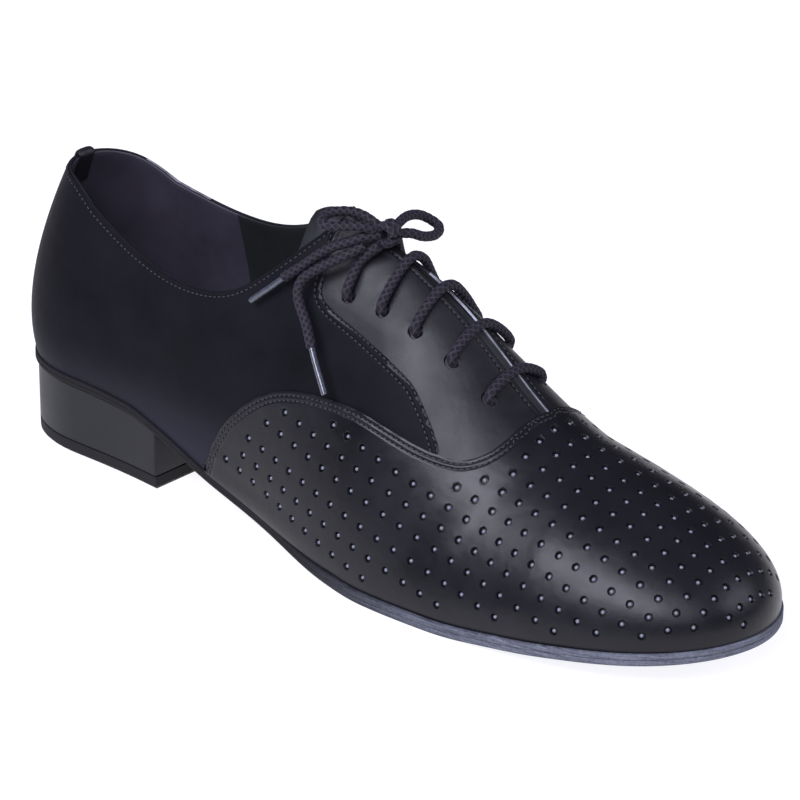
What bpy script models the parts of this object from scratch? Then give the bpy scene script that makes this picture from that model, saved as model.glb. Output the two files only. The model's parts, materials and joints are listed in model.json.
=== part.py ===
"""A ballroom dance shoe for the right foot: a plain closed-laced leather shoe on a low heel.

The shoe stands on its heel and forefoot, toe to +X, outer (lateral) side to -Y. The origin is on the
ground under the centre of the heel. Every surface follows one last: a ring of columns round the foot,
each a curve from the feather edge, where upper meets sole, to the top of the instep.
"""

from collections import namedtuple
from math import cos, hypot, pi, sin

import bmesh
import bpy
import numpy as np
from mathutils import Vector

MM = 0.001

# Last
LAST_LENGTH = 285 * MM
BALL_WIDTH = 90 * MM
INSTEP_HEIGHT = 108 * MM
COLLAR_HEIGHT = 90 * MM
TOE_SPRING = 10 * MM
TOE_TIP_SHIFT = 0.5 * MM
HEEL_CENTRE = 0.115
TOE_CENTRE = 0.80

# Upper
WALL = 1.9 * MM
VAMP_STEP = 0.9 * MM
THROAT = 0.71
FACING_GAP = 5.0 * MM
THROAT_GAP = 3.0 * MM
EYELET_PAIRS = 5
EYELET_FIRST = 0.488
EYELET_PITCH = 12.8 * MM
EYELET_INSET = 14 * MM
EYELET_INSET_LOW = 9.5 * MM
EYELET_HOLE = 4.6 * MM

# Sole and heel
WAIST_SOLE = 2.9 * MM
FORE_SOLE = 3.9 * MM
SOLE_BULGE = 0.35 * MM
SOLE_CHAMFER = 0.6 * MM
HEEL_HEIGHT = 24.5 * MM
HEEL_BREAST = 0.246
HEEL_INSET = 1.0 * MM
HEEL_TAPER = 0.5 * MM
TOP_PIECE = 4.0 * MM
INSOLE = 2.2 * MM

# Tongue
TONGUE_WIDTH = 44 * MM
TONGUE_THICKNESS = 2.0 * MM
TONGUE_CORNER = 9 * MM
TONGUE_CROWN = 0.12
TONGUE_TOP = 0.405
TONGUE_FRONT = 0.755

# Lace
LACE = 3.2 * MM
AGLET = 2.5 * MM

# Clearances
SEAT = 0.3 * MM
TONGUE_CLEAR = 1.4 * MM
INSOLE_CLEAR = 0.5 * MM
LACE_CLEAR = 0.5 * MM

SIDES = (-1, 1)
LATERAL, MEDIAL = SIDES

# Cross-sections of the last. u is the share of its length from the heel; centre, half, bulge and mouth are
# shares of BALL_WIDTH, and so is crest, how far the top lies to the inner side; rise, top and drop are shares
# of INSTEP_HEIGHT; outer and inner, the shoulders of the two sides, are shares of the half width.
Section = namedtuple("Section", "u centre half rise bulge top mouth crest outer inner drop")
SECTIONS = (
    Section(0.115, -0.006, 0.327, 0.150, 0.050, 0.930, 0.150, 0.000, 0.800, 0.800, 0.285),
    Section(0.200, 0.000, 0.335, 0.150, 0.046, 0.965, 0.150, 0.000, 0.800, 0.800, 0.275),
    Section(0.300, -0.022, 0.341, 0.150, 0.045, 0.995, 0.100, 0.000, 0.760, 0.760, 0.235),
    Section(0.400, -0.055, 0.342, 0.150, 0.045, 1.010, 0.030, 0.015, 0.620, 0.576, 0.150),
    Section(0.500, -0.062, 0.397, 0.145, 0.044, 0.916, 0.000, 0.050, 0.507, 0.285, 0.080),
    Section(0.600, -0.028, 0.467, 0.132, 0.043, 0.779, 0.000, 0.014, 0.535, 0.385, 0.030),
    Section(0.700, 0.015, 0.500, 0.105, 0.041, 0.552, 0.000, 0.004, 0.516, 0.468, 0.000),
    Section(0.800, 0.006, 0.462, 0.092, 0.040, 0.448, 0.000, 0.000, 0.670, 0.670, 0.000),
)
# The same columns at the tip of the toe and at the middle of the back, with their outline's roundness.
End = namedtuple("End", "power rise bulge top mouth shoulder drop")
TOE_END = End(1.95, 0.142, 0.022, 0.448, 0.000, 0.605, 0.000)
BACK_END = End(2.20, 0.213, 0.070, 0.925, 0.215, 0.95, 0.228)

# Height of the sole's underside, as shares of HEEL_HEIGHT and TOE_SPRING.
Underside = namedtuple("Underside", "u heel spring")
UNDERSIDE = (
    Underside(0.00, 1.00, 0.00),
    Underside(0.10, 0.99, 0.00),
    Underside(0.20, 0.93, 0.00),
    Underside(0.25, 0.80, 0.00),
    Underside(0.35, 0.46, 0.00),
    Underside(0.45, 0.24, 0.00),
    Underside(0.54, 0.06, 0.00),
    Underside(0.60, 0.00, 0.00),
    Underside(0.69, 0.00, 0.00),
    Underside(0.78, 0.00, 0.23),
    Underside(0.86, 0.00, 0.55),
    Underside(1.00, 0.00, 1.00),
)
# How far the sole's edge stands out from the feather edge, as a share of FORE_SOLE, and the share of the
# way from waist to forepart thickness.
Edge = namedtuple("Edge", "u reach fore")
EDGE = (
    Edge(0.00, 0.13, 0.0),
    Edge(0.20, 0.18, 0.0),
    Edge(0.42, 0.20, 0.0),
    Edge(0.56, 0.50, 1.0),
    Edge(0.70, 0.55, 1.0),
    Edge(0.90, 0.50, 1.0),
    Edge(1.00, 0.42, 1.0),
)
# The side of the sole from the ground up: how far each row stands in, and its share of the thickness.
SOLE_SIDE = (
    (SOLE_CHAMFER, 0.00),
    (0.0, 0.16),
    (0.0, 0.50),
    (SOLE_BULGE, 0.56),
    (0.0, 0.62),
    (0.0, 1.00),
)
# Height of the collar, as a share of COLLAR_HEIGHT, on the outer and inner side.
Collar = namedtuple("Collar", "u lateral medial")
COLLAR = (
    Collar(0.000, 1.000, 1.000),
    Collar(0.050, 0.985, 0.965),
    Collar(0.100, 0.940, 0.915),
    Collar(0.150, 0.876, 0.868),
    Collar(0.200, 0.826, 0.842),
    Collar(0.250, 0.797, 0.852),
    Collar(0.300, 0.800, 0.900),
    Collar(0.350, 0.852, 0.978),
    Collar(0.400, 0.985, 1.075),
    Collar(0.440, 1.120, 1.160),
    Collar(0.470, 1.250, 1.260),
)
# The vamp's upper edge: share of the way up each column.
VampEdge = namedtuple("VampEdge", "u up")
VAMP_EDGE = (
    VampEdge(0.333, 0.000),
    VampEdge(0.349, 0.190),
    VampEdge(0.384, 0.340),
    VampEdge(0.442, 0.450),
    VampEdge(0.540, 0.530),
    VampEdge(0.622, 0.550),
    VampEdge(0.669, 0.600),
    VampEdge(0.690, 0.670),
    VampEdge(0.702, 0.770),
    VampEdge(0.710, 1.000),
)

# Columns of the upper: shares of the length where they stand, and their angles round the two ends.
MID_COLUMNS = (
    0.115, 0.145, 0.175, 0.205, 0.235, 0.265, 0.295, 0.318, 0.333, 0.349, 0.366, 0.384, 0.402, 0.418,
    0.432, 0.444, 0.456, 0.475, 0.500, 0.525, 0.550, 0.575, 0.600, 0.622, 0.646, 0.669, 0.690, 0.702,
    0.710, 0.730, 0.753, 0.776, 0.800,
)
BACK_COLUMNS = 7
TOE_COLUMNS = 10
WING_ROWS = 5
WING_UP = 0.53
CROWN_ROWS = 5
QUARTER_ROWS = 6
INNER_ROWS = 8

# Routes of the lace's free parts.
KNOT_CENTRE = Vector((111.6, -6.0, 102.0)) * MM
KNOT_RADII = Vector((3.4, 4.6, 3.6)) * MM
LOOP_LATERAL = (
    (108.6, -9.0, 107.0), (105.4, -9.6, 109.0), (101.6, -11.0, 109.8), (98.0, -13.6, 109.2),
    (95.8, -17.0, 107.4), (97.0, -19.4, 105.6), (100.6, -18.4, 105.0), (104.0, -15.4, 105.2),
    (106.6, -13.2, 105.0),
)
LOOP_MEDIAL = (
    (110.7, -1.2, 103.0), (108.8, 5.6, 103.3), (108.4, 11.6, 102.0), (109.4, 15.8, 99.6),
    (111.8, 17.2, 97.6), (114.0, 14.2, 96.8), (114.9, 9.4, 97.4), (115.0, 5.0, 98.9),
    (114.8, 1.2, 100.8),
)
END_UPPER = (
    (108.9, -9.5, 101.6), (106.6, -12.4, 101.2), (103.6, -15.0, 99.6), (100.4, -16.8, 98.0),
    (97.4, -18.2, 96.0), (94.2, -19.9, 93.2), (91.2, -21.5, 90.3), (88.2, -22.9, 87.7), (85.8, -23.9, 85.6),
)
AGLET_UPPER = ((85.5, -24.0, 85.3), (81.0, -25.6, 81.0), (78.0, -26.5, 78.3), (75.0, -27.3, 75.5))
END_LOWER = (
    (103.8, -17.4, 95.6), (101.4, -19.0, 93.9), (98.6, -20.7, 92.0), (95.6, -22.4, 89.6),
    (93.0, -24.2, 86.6), (92.6, -25.4, 83.4), (94.2, -26.4, 80.0), (97.0, -27.4, 76.8),
    (100.0, -28.8, 73.2), (102.6, -30.2, 69.8),
)
AGLET_LOWER = ((102.9, -30.3, 69.4), (106.4, -32.2, 65.4), (109.6, -33.7, 61.8), (112.6, -35.0, 58.2))


def smooth_curve(xs, ys):
    """A natural cubic spline through the points, as a function."""
    xs, ys = np.array(xs, float), np.array(ys, float)
    gap = np.diff(xs)
    last = len(xs) - 1
    matrix, right = np.eye(len(xs)), np.zeros(len(xs))
    for i in range(1, last):
        matrix[i, i - 1:i + 2] = gap[i - 1], 2 * (gap[i - 1] + gap[i]), gap[i]
        right[i] = 6 * ((ys[i + 1] - ys[i]) / gap[i] - (ys[i] - ys[i - 1]) / gap[i - 1])
    bend = np.linalg.solve(matrix, right)

    def value(x):
        i = int(np.clip(np.searchsorted(xs, x) - 1, 0, last - 1))
        before, after = x - xs[i], xs[i + 1] - x
        cubic = (bend[i] * after**3 + bend[i + 1] * before**3) / (6 * gap[i])
        left = (ys[i] / gap[i] - bend[i] * gap[i] / 6) * after
        return cubic + left + (ys[i + 1] / gap[i] - bend[i + 1] * gap[i] / 6) * before

    return value


def steady_curve(xs, ys):
    """A cubic curve through the points that never swings past them, as a function."""
    xs, ys = np.array(xs, float), np.array(ys, float)
    gap = np.diff(xs)
    secant = np.diff(ys) / gap
    slope = np.zeros(len(xs))
    slope[0], slope[-1] = secant[0], secant[-1]
    for i in range(1, len(xs) - 1):
        if secant[i - 1] * secant[i] > 0:
            first, second = 2 * gap[i] + gap[i - 1], gap[i] + 2 * gap[i - 1]
            slope[i] = (first + second) / (first / secant[i - 1] + second / secant[i])

    def value(x):
        i = int(np.clip(np.searchsorted(xs, x) - 1, 0, len(xs) - 2))
        t = min(max((x - xs[i]) / gap[i], 0.0), 1.0)
        start = ys[i] * (1 + 2 * t) * (1 - t) ** 2 + slope[i] * gap[i] * t * (1 - t) ** 2
        return start + ys[i + 1] * t * t * (3 - 2 * t) - slope[i + 1] * gap[i] * t * t * (1 - t)

    return value


def listed(table, name):
    return [getattr(row, name) for row in table]


def from_sections(name, size, curve=smooth_curve):
    return curve(listed(SECTIONS, "u"), [size * value for value in listed(SECTIONS, name)])


centre_at = from_sections("centre", BALL_WIDTH)
half_at = from_sections("half", BALL_WIDTH)
rise_at = from_sections("rise", INSTEP_HEIGHT)
bulge_at = from_sections("bulge", BALL_WIDTH)
top_at = from_sections("top", INSTEP_HEIGHT)
mouth_at = from_sections("mouth", BALL_WIDTH, steady_curve)
crest_at = from_sections("crest", BALL_WIDTH, steady_curve)
shoulder_at = {LATERAL: from_sections("outer", 1.0), MEDIAL: from_sections("inner", 1.0)}
drop_at = from_sections("drop", INSTEP_HEIGHT, steady_curve)
underside_at = steady_curve(
    listed(UNDERSIDE, "u"), [row.heel * HEEL_HEIGHT + row.spring * TOE_SPRING for row in UNDERSIDE]
)
sole_thickness_at = steady_curve(
    listed(EDGE, "u"), [WAIST_SOLE + row.fore * (FORE_SOLE - WAIST_SOLE) for row in EDGE]
)
reach_at = steady_curve(listed(EDGE, "u"), [row.reach * FORE_SOLE for row in EDGE])
collar_at = {
    LATERAL: smooth_curve(listed(COLLAR, "u"), [COLLAR_HEIGHT * row.lateral for row in COLLAR]),
    MEDIAL: smooth_curve(listed(COLLAR, "u"), [COLLAR_HEIGHT * row.medial for row in COLLAR]),
}
vamp_edge_at = steady_curve(listed(VAMP_EDGE, "u"), listed(VAMP_EDGE, "up"))
facing_gap_at = steady_curve((EYELET_FIRST, THROAT), (FACING_GAP, THROAT_GAP))
eyelet_inset_at = steady_curve((EYELET_FIRST, THROAT), (EYELET_INSET, EYELET_INSET_LOW))


def slope(curve, u, step=0.001):
    """How fast a size grows along the last, just behind u."""
    return float(curve(u) - curve(u - step)) / (step * LAST_LENGTH)


def feather_at(u):
    """Height of the feather edge."""
    return underside_at(u) + sole_thickness_at(u) + SEAT


class Column:
    """A curve of the last in a vertical plane: zone is 'back', 'mid' or 'toe', place its angle or share."""

    def __init__(self, zone, place, side):
        u = {"back": HEEL_CENTRE, "toe": TOE_CENTRE}.get(zone, place)
        self.zone, self.side = zone, side
        self.crest = side * crest_at(u)
        self.base = Vector(((u - HEEL_CENTRE) * LAST_LENGTH, float(centre_at(u)), 0))
        half = half_at(u)
        values = [rise_at(u), bulge_at(u), top_at(u), mouth_at(u), shoulder_at[side](u) * half, drop_at(u)]
        reach, self.out, weight, lean = half, Vector((0, side, 0)), 0.0, 0.0
        if zone != "mid":
            end = TOE_END if zone == "toe" else BACK_END
            length = (1 - TOE_CENTRE if zone == "toe" else HEEL_CENTRE) * LAST_LENGTH
            forward = 1 if zone == "toe" else -1
            along, across = cos(place), sin(place)
            reach = ((along / length) ** end.power + (across / half) ** end.power) ** (-1 / end.power)
            arm = Vector((forward * along * reach, side * across * reach, 0))
            weight = along**2
            shoulder = end.shoulder * length
            if zone == "toe":
                share = arm.x / length
                fade = share * (1 - share) ** 2 * length
                arm.y *= 1 + slope(half_at, TOE_CENTRE) * fade / float(half)
                arm.y += slope(centre_at, TOE_CENTRE) * fade + TOE_TIP_SHIFT * share
                lean = slope(top_at, TOE_CENTRE) * arm.x / arm.length
                shoulder = end.shoulder * arm.length
                values[4] = shoulder_at[side](TOE_CENTRE) * arm.length
            reach, self.out = arm.length, arm.normalized()
            u += arm.x / LAST_LENGTH
            ends = [
                end.rise * INSTEP_HEIGHT, end.bulge * BALL_WIDTH, end.top * INSTEP_HEIGHT,
                end.mouth * BALL_WIDTH, shoulder, end.drop * INSTEP_HEIGHT,
            ]
            values = [a + weight * (b - a) for a, b in zip(values, ends)]
        rise, bulge, top, mouth, shoulder, drop = values
        self.u = u
        self.feather = feather_at(u)
        self.reach = reach
        self.curve = np.array((
            (reach, self.feather),
            (reach + bulge, self.feather + rise),
            (shoulder, top - drop + lean * shoulder),
            (mouth + self.crest, top),
        ))
        self.top = self.up_to_top()

    def at(self, t):
        a, b, c, d = self.curve
        s = 1 - t
        return s**3 * a + 3 * t * s * s * b + 3 * t * t * s * c + t**3 * d

    def normal(self, t):
        if t <= 0:
            return np.array((1.0, 0.0))
        if t >= 1 and self.zone == "toe":
            return np.array((0.0, 1.0))
        a, b, c, d = self.curve
        s = 1 - t
        along = s * s * (b - a) + 2 * s * t * (c - b) + t * t * (d - c)
        return np.array((along[1], -along[0])) / hypot(*along)

    def point(self, t, offset=0.0):
        out, height = map(float, self.at(t) + offset * self.normal(t))
        return self.base + self.out * out + Vector((0, 0, height))

    def plan(self, grown, height):
        """A point level with the ground, grown out from the feather edge."""
        return self.base + self.out * float(self.reach + grown) + Vector((0, 0, height))

    def first(self, test):
        """The smallest share of the way up where the test holds, or 1."""
        low, high = 0.3, 1.0
        if not test(self.at(high)):
            return high
        for _ in range(40):
            middle = (low + high) / 2
            if test(self.at(middle)):
                high = middle
            else:
                low = middle
        return high

    def up_to_top(self):
        """Where the upper ends on this column: its collar, its facing or the ridge of the vamp."""
        if self.zone == "toe" or self.u >= THROAT:
            return 1.0
        facing = self.first(lambda q: q[0] <= self.crest + facing_gap_at(self.u) / 2)
        if self.u > COLLAR[-1].u:
            return facing
        height = collar_at[self.side](self.u)
        return min(facing, self.first(lambda q: q[1] >= height))

    def vamp_top(self):
        if self.zone == "toe" or self.u >= THROAT:
            return 1.0
        if self.zone == "back" or self.u <= VAMP_EDGE[0].u:
            return 0.0
        return min(vamp_edge_at(self.u), self.top)


def columns(side):
    """The columns of one side, from the middle of the back to the tip of the toe."""
    back = [Column("back", pi / 2 * i / BACK_COLUMNS, side) for i in range(BACK_COLUMNS)]
    middle = [Column("mid", u, side) for u in MID_COLUMNS]
    toe = [Column("toe", pi / 2 * (1 - i / TOE_COLUMNS), side) for i in range(1, TOE_COLUMNS + 1)]
    return back + middle + toe


class Skin:
    """Faces joined where their corners meet."""

    def __init__(self):
        self.mesh = bmesh.new()
        self.corners = {}

    def corner(self, point):
        key = tuple(round(value / (0.001 * MM)) for value in point)
        if key not in self.corners:
            self.corners[key] = self.mesh.verts.new(point)
        return self.corners[key]

    def face(self, points):
        around = []
        for corner in map(self.corner, points):
            if corner not in around:
                around.append(corner)
        if len(around) > 2:
            self.mesh.faces.new(around)

    def strip(self, first, second):
        for a, b, c, d in zip(first, first[1:], second[1:], second):
            self.face((a, b, c, d))

    def made(self, name):
        bmesh.ops.recalc_face_normals(self.mesh, faces=self.mesh.faces)
        data = bpy.data.meshes.new(name)
        self.mesh.to_mesh(data)
        self.mesh.free()
        return bpy.data.objects.new(name, data)


def material(name, colour, roughness, metallic=0.0):
    made = bpy.data.materials.new(name)
    made.use_nodes = True
    shader = made.node_tree.nodes["Principled BSDF"]
    shader.inputs["Base Color"].default_value = (*colour, 1)
    shader.inputs["Roughness"].default_value = roughness
    shader.inputs["Metallic"].default_value = metallic
    made.diffuse_color = (*colour, 1)
    return made


def add(collection, made, finish, sharp=35):
    """Puts the object in the collection with its material, shaded smooth but for its sharp edges."""
    collection.objects.link(made)
    made.data.materials.append(finish)
    if made.type == "MESH":
        made.data.shade_smooth()
        made.data.set_sharp_from_angle(angle=sharp * pi / 180)
    return made


def spread(start, end, count):
    return [start + (end - start) * i / count for i in range(count + 1)]


def outer_rows(column):
    """The vamp's rows and the quarter's rows of one column, from the feather edge to the top."""
    vamp_top = column.vamp_top()
    wing_top = min(vamp_top, WING_UP)
    rows = spread(0.0, wing_top, WING_ROWS) + spread(wing_top, vamp_top, CROWN_ROWS)[1:]
    step = VAMP_STEP if vamp_top > 0 else 0.0
    vamp = [column.point(t, step) for t in rows]
    quarter = [column.point(t) for t in spread(vamp_top, column.top, QUARTER_ROWS)]
    return vamp, quarter


def make_upper():
    """Vamp, quarters and facings as one hollow wall, with the vamp a step above the quarters."""
    skin = Skin()
    for side in SIDES:
        ring = columns(side)
        for near, ahead in zip(ring, ring[1:]):
            (vamp, quarter), (next_vamp, next_quarter) = outer_rows(near), outer_rows(ahead)
            skin.strip(vamp, next_vamp)
            inner = [near.point(t, -WALL) for t in spread(0.0, near.top, INNER_ROWS)]
            next_inner = [ahead.point(t, -WALL) for t in spread(0.0, ahead.top, INNER_ROWS)]
            skin.strip(next_inner, inner)
            skin.face((vamp[0], next_vamp[0], next_inner[0], inner[0]))
            if near.u < THROAT and near.zone != "toe":
                skin.strip([vamp[-1]] + quarter, [next_vamp[-1]] + next_quarter)
                skin.face((quarter[-1], next_quarter[-1], next_inner[-1], inner[-1]))
    return skin.made("upper")


def eyelet_columns(side):
    """The column of each eyelet, the first at the top."""
    return [
        Column("mid", EYELET_FIRST + i * EYELET_PITCH / LAST_LENGTH, side) for i in range(EYELET_PAIRS)
    ]


def eyelet_up(column):
    """How far up its column an eyelet stands."""
    inset = facing_gap_at(column.u) / 2 + eyelet_inset_at(column.u)
    return column.first(lambda q: q[0] <= column.crest + inset)


def make_eyelet_cutters(collection):
    """A round bar through both facings at each eyelet, square to the leather."""
    cutters = bmesh.new()
    for side in SIDES:
        for column in eyelet_columns(side):
            up = eyelet_up(column)
            normal = column.normal(up)
            outward = column.out * float(normal[0]) + Vector((0, 0, float(normal[1])))
            middle = column.point(up, -WALL / 2)
            turn = Vector((0, 0, 1)).rotation_difference(outward).to_matrix().to_4x4()
            turn.translation = middle
            bmesh.ops.create_cone(
                cutters, cap_ends=True, segments=10, radius1=EYELET_HOLE / 2, radius2=EYELET_HOLE / 2,
                depth=4 * WALL, matrix=turn,
            )
    data = bpy.data.meshes.new("eyelet_cutters")
    cutters.to_mesh(data)
    cutters.free()
    made = bpy.data.objects.new("eyelet_cutters", data)
    collection.objects.link(made)
    made.hide_render = True
    made.display_type = "WIRE"
    return made


def make_slab(name, ring, side_rows, end_face=False):
    """A solid between two edges: side_rows gives the points of a column's edge from the bottom up."""
    skin = Skin()
    lateral, medial = ([side_rows(column) for column in ring[side]] for side in SIDES)
    for i in range(len(lateral) - 1):
        skin.strip(lateral[i], lateral[i + 1])
        skin.strip(medial[i + 1], medial[i])
        skin.face((lateral[i][-1], lateral[i + 1][-1], medial[i + 1][-1], medial[i][-1]))
        skin.face((lateral[i][0], medial[i][0], medial[i + 1][0], lateral[i + 1][0]))
    if end_face:
        skin.face(lateral[-1] + medial[-1][::-1])
    return skin.made(name)


def sole_edge(column):
    reach, bottom = reach_at(column.u), underside_at(column.u)
    return [
        column.plan(reach - inset, bottom + share * sole_thickness_at(column.u))
        for inset, share in SOLE_SIDE
    ]


def insole_edge(column):
    grown = -(WALL + INSOLE_CLEAR)
    return [column.plan(grown, column.feather), column.plan(grown, column.feather + INSOLE)]


def heel_reach(column, height):
    """How far the heel stands out from the feather edge, drawn in towards the ground."""
    return reach_at(column.u) - HEEL_INSET - HEEL_TAPER * (1 - height / HEEL_HEIGHT)


def heel_edge(column):
    bottom, top = TOP_PIECE + SEAT, underside_at(column.u) - SEAT
    return [
        column.plan(heel_reach(column, height), height) for height in (bottom, (bottom + top) / 2, top)
    ]


def top_piece_edge(column):
    return [column.plan(heel_reach(column, height), height) for height in (0.0, TOP_PIECE)]


def heel_columns():
    """The columns over the heel, ending at its breast."""
    ring = {}
    for side in SIDES:
        over = [column for column in columns(side) if column.u < HEEL_BREAST]
        ring[side] = over + [Column("mid", HEEL_BREAST, side)]
    return ring


def tongue_section(u, face):
    """Points across the tongue under the facings, at this depth below the last."""
    short = max(0.0, TONGUE_CORNER - (u - TONGUE_TOP) * LAST_LENGTH)
    half = TONGUE_WIDTH / 2 - TONGUE_CORNER + (TONGUE_CORNER**2 - short**2) ** 0.5
    outs = [half * share for share in (1.0, 0.8, 0.6, 0.4, 0.2)]
    points = []
    for side in SIDES:
        column = Column("mid", u, side)
        reaches = [column.crest + out for out in outs]
        row = [column.point(column.first(lambda q, reach=reach: q[0] <= reach), -face) for reach in reaches]
        points.append(row)
    lateral, medial = points
    crown = (lateral[-1] + medial[-1]) / 2
    shoulder = (lateral[-2] + medial[-2]) / 2
    crown.z += (crown.z - shoulder.z) * TONGUE_CROWN
    return lateral + [crown] + medial[::-1]


def make_tongue():
    skin = Skin()
    corner_end = TONGUE_TOP + TONGUE_CORNER / LAST_LENGTH
    stops = spread(TONGUE_TOP, corner_end, 4) + spread(corner_end, TONGUE_FRONT, 12)[1:]
    outer = [tongue_section(u, WALL + TONGUE_CLEAR) for u in stops]
    inner = [tongue_section(u, WALL + TONGUE_CLEAR + TONGUE_THICKNESS) for u in stops]
    for i in range(len(stops) - 1):
        skin.strip(outer[i], outer[i + 1])
        skin.strip(inner[i + 1], inner[i])
        for edge in (0, -1):
            skin.face((outer[i][edge], outer[i + 1][edge], inner[i + 1][edge], inner[i][edge]))
    for end in (0, -1):
        skin.strip(outer[end], inner[end])
    return skin.made("tongue")


def through(points, spacing):
    """Even points along a smooth curve through the route's own points."""
    route = np.array([tuple(point) for point in points], float)
    along = np.concatenate([[0], np.cumsum(np.linalg.norm(np.diff(route, axis=0), axis=1))])
    curves = [smooth_curve(along, route[:, axis]) for axis in range(3)]
    count = max(2, round(along[-1] / spacing))
    return [Vector([curve(at) for curve in curves]) for at in spread(0.0, along[-1], count)]


def make_tube(name, points, diameter):
    """A round cord along the points."""
    data = bpy.data.curves.new(name, "CURVE")
    data.dimensions = "3D"
    data.bevel_depth = diameter / 2
    data.bevel_resolution = 2
    data.use_fill_caps = True
    spline = data.splines.new("POLY")
    spline.points.add(len(points) - 1)
    for place, point in zip(spline.points, points):
        place.co = (*point, 1)
    return bpy.data.objects.new(name, data)


def strand_half(side, index):
    """Half of a crossing, from inside its eyelet up over the facing's edge."""
    column = eyelet_columns(side)[index]
    up, lie = eyelet_up(column), LACE / 2 + LACE_CLEAR
    edge = column.top
    return [
        column.point(up, -WALL * 0.75),
        column.point(up, 0.3 * LACE),
        column.point(up + 0.22 * (edge - up), lie),
        column.point(up + 0.60 * (edge - up), lie),
        column.point(edge, lie),
    ]


def make_crossing(index):
    """The lace over the gap between one pair of eyelets."""
    lateral, medial = (strand_half(side, index) for side in SIDES)
    return make_tube(f"lace_bar_{index + 1}", through(lateral + medial[::-1], 0.75 * LACE), LACE)


# For each rising strand: how many of the crossing's points it follows, and how far below the knot's centre
# it ends, as a share of the knot's half height.
RISE = {LATERAL: (3, 1.0), MEDIAL: (4, 0.6)}


def make_rising_strand(name, side):
    """The lace from a top eyelet to the side of the knot."""
    taken, low = RISE[side]
    foot = KNOT_CENTRE + Vector((0, side * (KNOT_RADII.y + 0.35 * LACE), -low * KNOT_RADII.z))
    return make_tube(name, through(strand_half(side, 0)[:taken] + [foot], 0.75 * LACE), LACE)


def make_knot():
    ball = bmesh.new()
    bmesh.ops.create_uvsphere(ball, u_segments=14, v_segments=8, radius=1.0)
    for corner in ball.verts:
        corner.co = KNOT_CENTRE + Vector([a * b for a, b in zip(corner.co, KNOT_RADII)])
    data = bpy.data.meshes.new("lace_knot")
    ball.to_mesh(data)
    ball.free()
    return bpy.data.objects.new("lace_knot", data)


def make_free_lace(parts, finish, tips):
    """The knot, the bow's loops and the two ends with their aglets."""
    add(parts, make_knot(), finish)
    routes = (
        ("lace_loop_lateral", LOOP_LATERAL), ("lace_loop_medial", LOOP_MEDIAL),
        ("lace_end_upper", END_UPPER), ("lace_end_lower", END_LOWER),
    )
    for name, route in routes:
        points = through([Vector(point) * MM for point in route], LACE)
        add(parts, make_tube(name, points, LACE), finish)
    for name, route in (("aglet_upper", AGLET_UPPER), ("aglet_lower", AGLET_LOWER)):
        points = through([Vector(point) * MM for point in route], 2 * AGLET)
        add(parts, make_tube(name, points, AGLET), tips)


def main():
    for item in list(bpy.data.objects):
        bpy.data.objects.remove(item, do_unlink=True)
    parts = bpy.data.collections.new("ballroom_dance_shoe")
    cutters = bpy.data.collections.new("cutters")
    for collection in (parts, cutters):
        bpy.context.scene.collection.children.link(collection)

    leather = material("black_calf_leather", (0.012, 0.012, 0.018), 0.35)
    lining = material("tongue_leather", (0.016, 0.016, 0.020), 0.45)
    sock = material("insole_leather", (0.020, 0.020, 0.022), 0.60)
    edge = material("sole_edge", (0.09, 0.09, 0.11), 0.70)
    block = material("heel_block", (0.014, 0.015, 0.022), 0.35)
    suede = material("suede_top_piece", (0.060, 0.058, 0.060), 0.95)
    lace = material("braided_lace", (0.016, 0.013, 0.020), 0.70)
    tip = material("aglet_film", (0.10, 0.11, 0.14), 0.30)

    upper = add(parts, make_upper(), leather)
    eyelets = upper.modifiers.new("eyelets", "BOOLEAN")
    eyelets.operation = "DIFFERENCE"
    eyelets.solver = "EXACT"
    eyelets.object = make_eyelet_cutters(cutters)

    ring = {side: columns(side) for side in SIDES}
    add(parts, make_slab("outsole", ring, sole_edge), edge)
    add(parts, make_slab("insole", ring, insole_edge), sock)
    add(parts, make_slab("heel", heel_columns(), heel_edge, end_face=True), block)
    add(parts, make_slab("top_piece", heel_columns(), top_piece_edge, end_face=True), suede)
    add(parts, make_tongue(), lining)

    for index in range(1, EYELET_PAIRS):
        add(parts, make_crossing(index), lace)
    add(parts, make_rising_strand("lace_rise_lateral", LATERAL), lace)
    add(parts, make_rising_strand("lace_rise_medial", MEDIAL), lace)
    make_free_lace(parts, lace, tip)


main()
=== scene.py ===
"""Looks of the ballroom dance shoe: its leather panels, seams, perforations, lace, sole and heel.

Lengths are metres in the shoe's own frame: toe to +X, outer (lateral) side to -Y, +Z up, the floor at z 0.
The fine panels follow the same last as the solids: columns from the feather edge to the top of the foot.
"""

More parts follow.
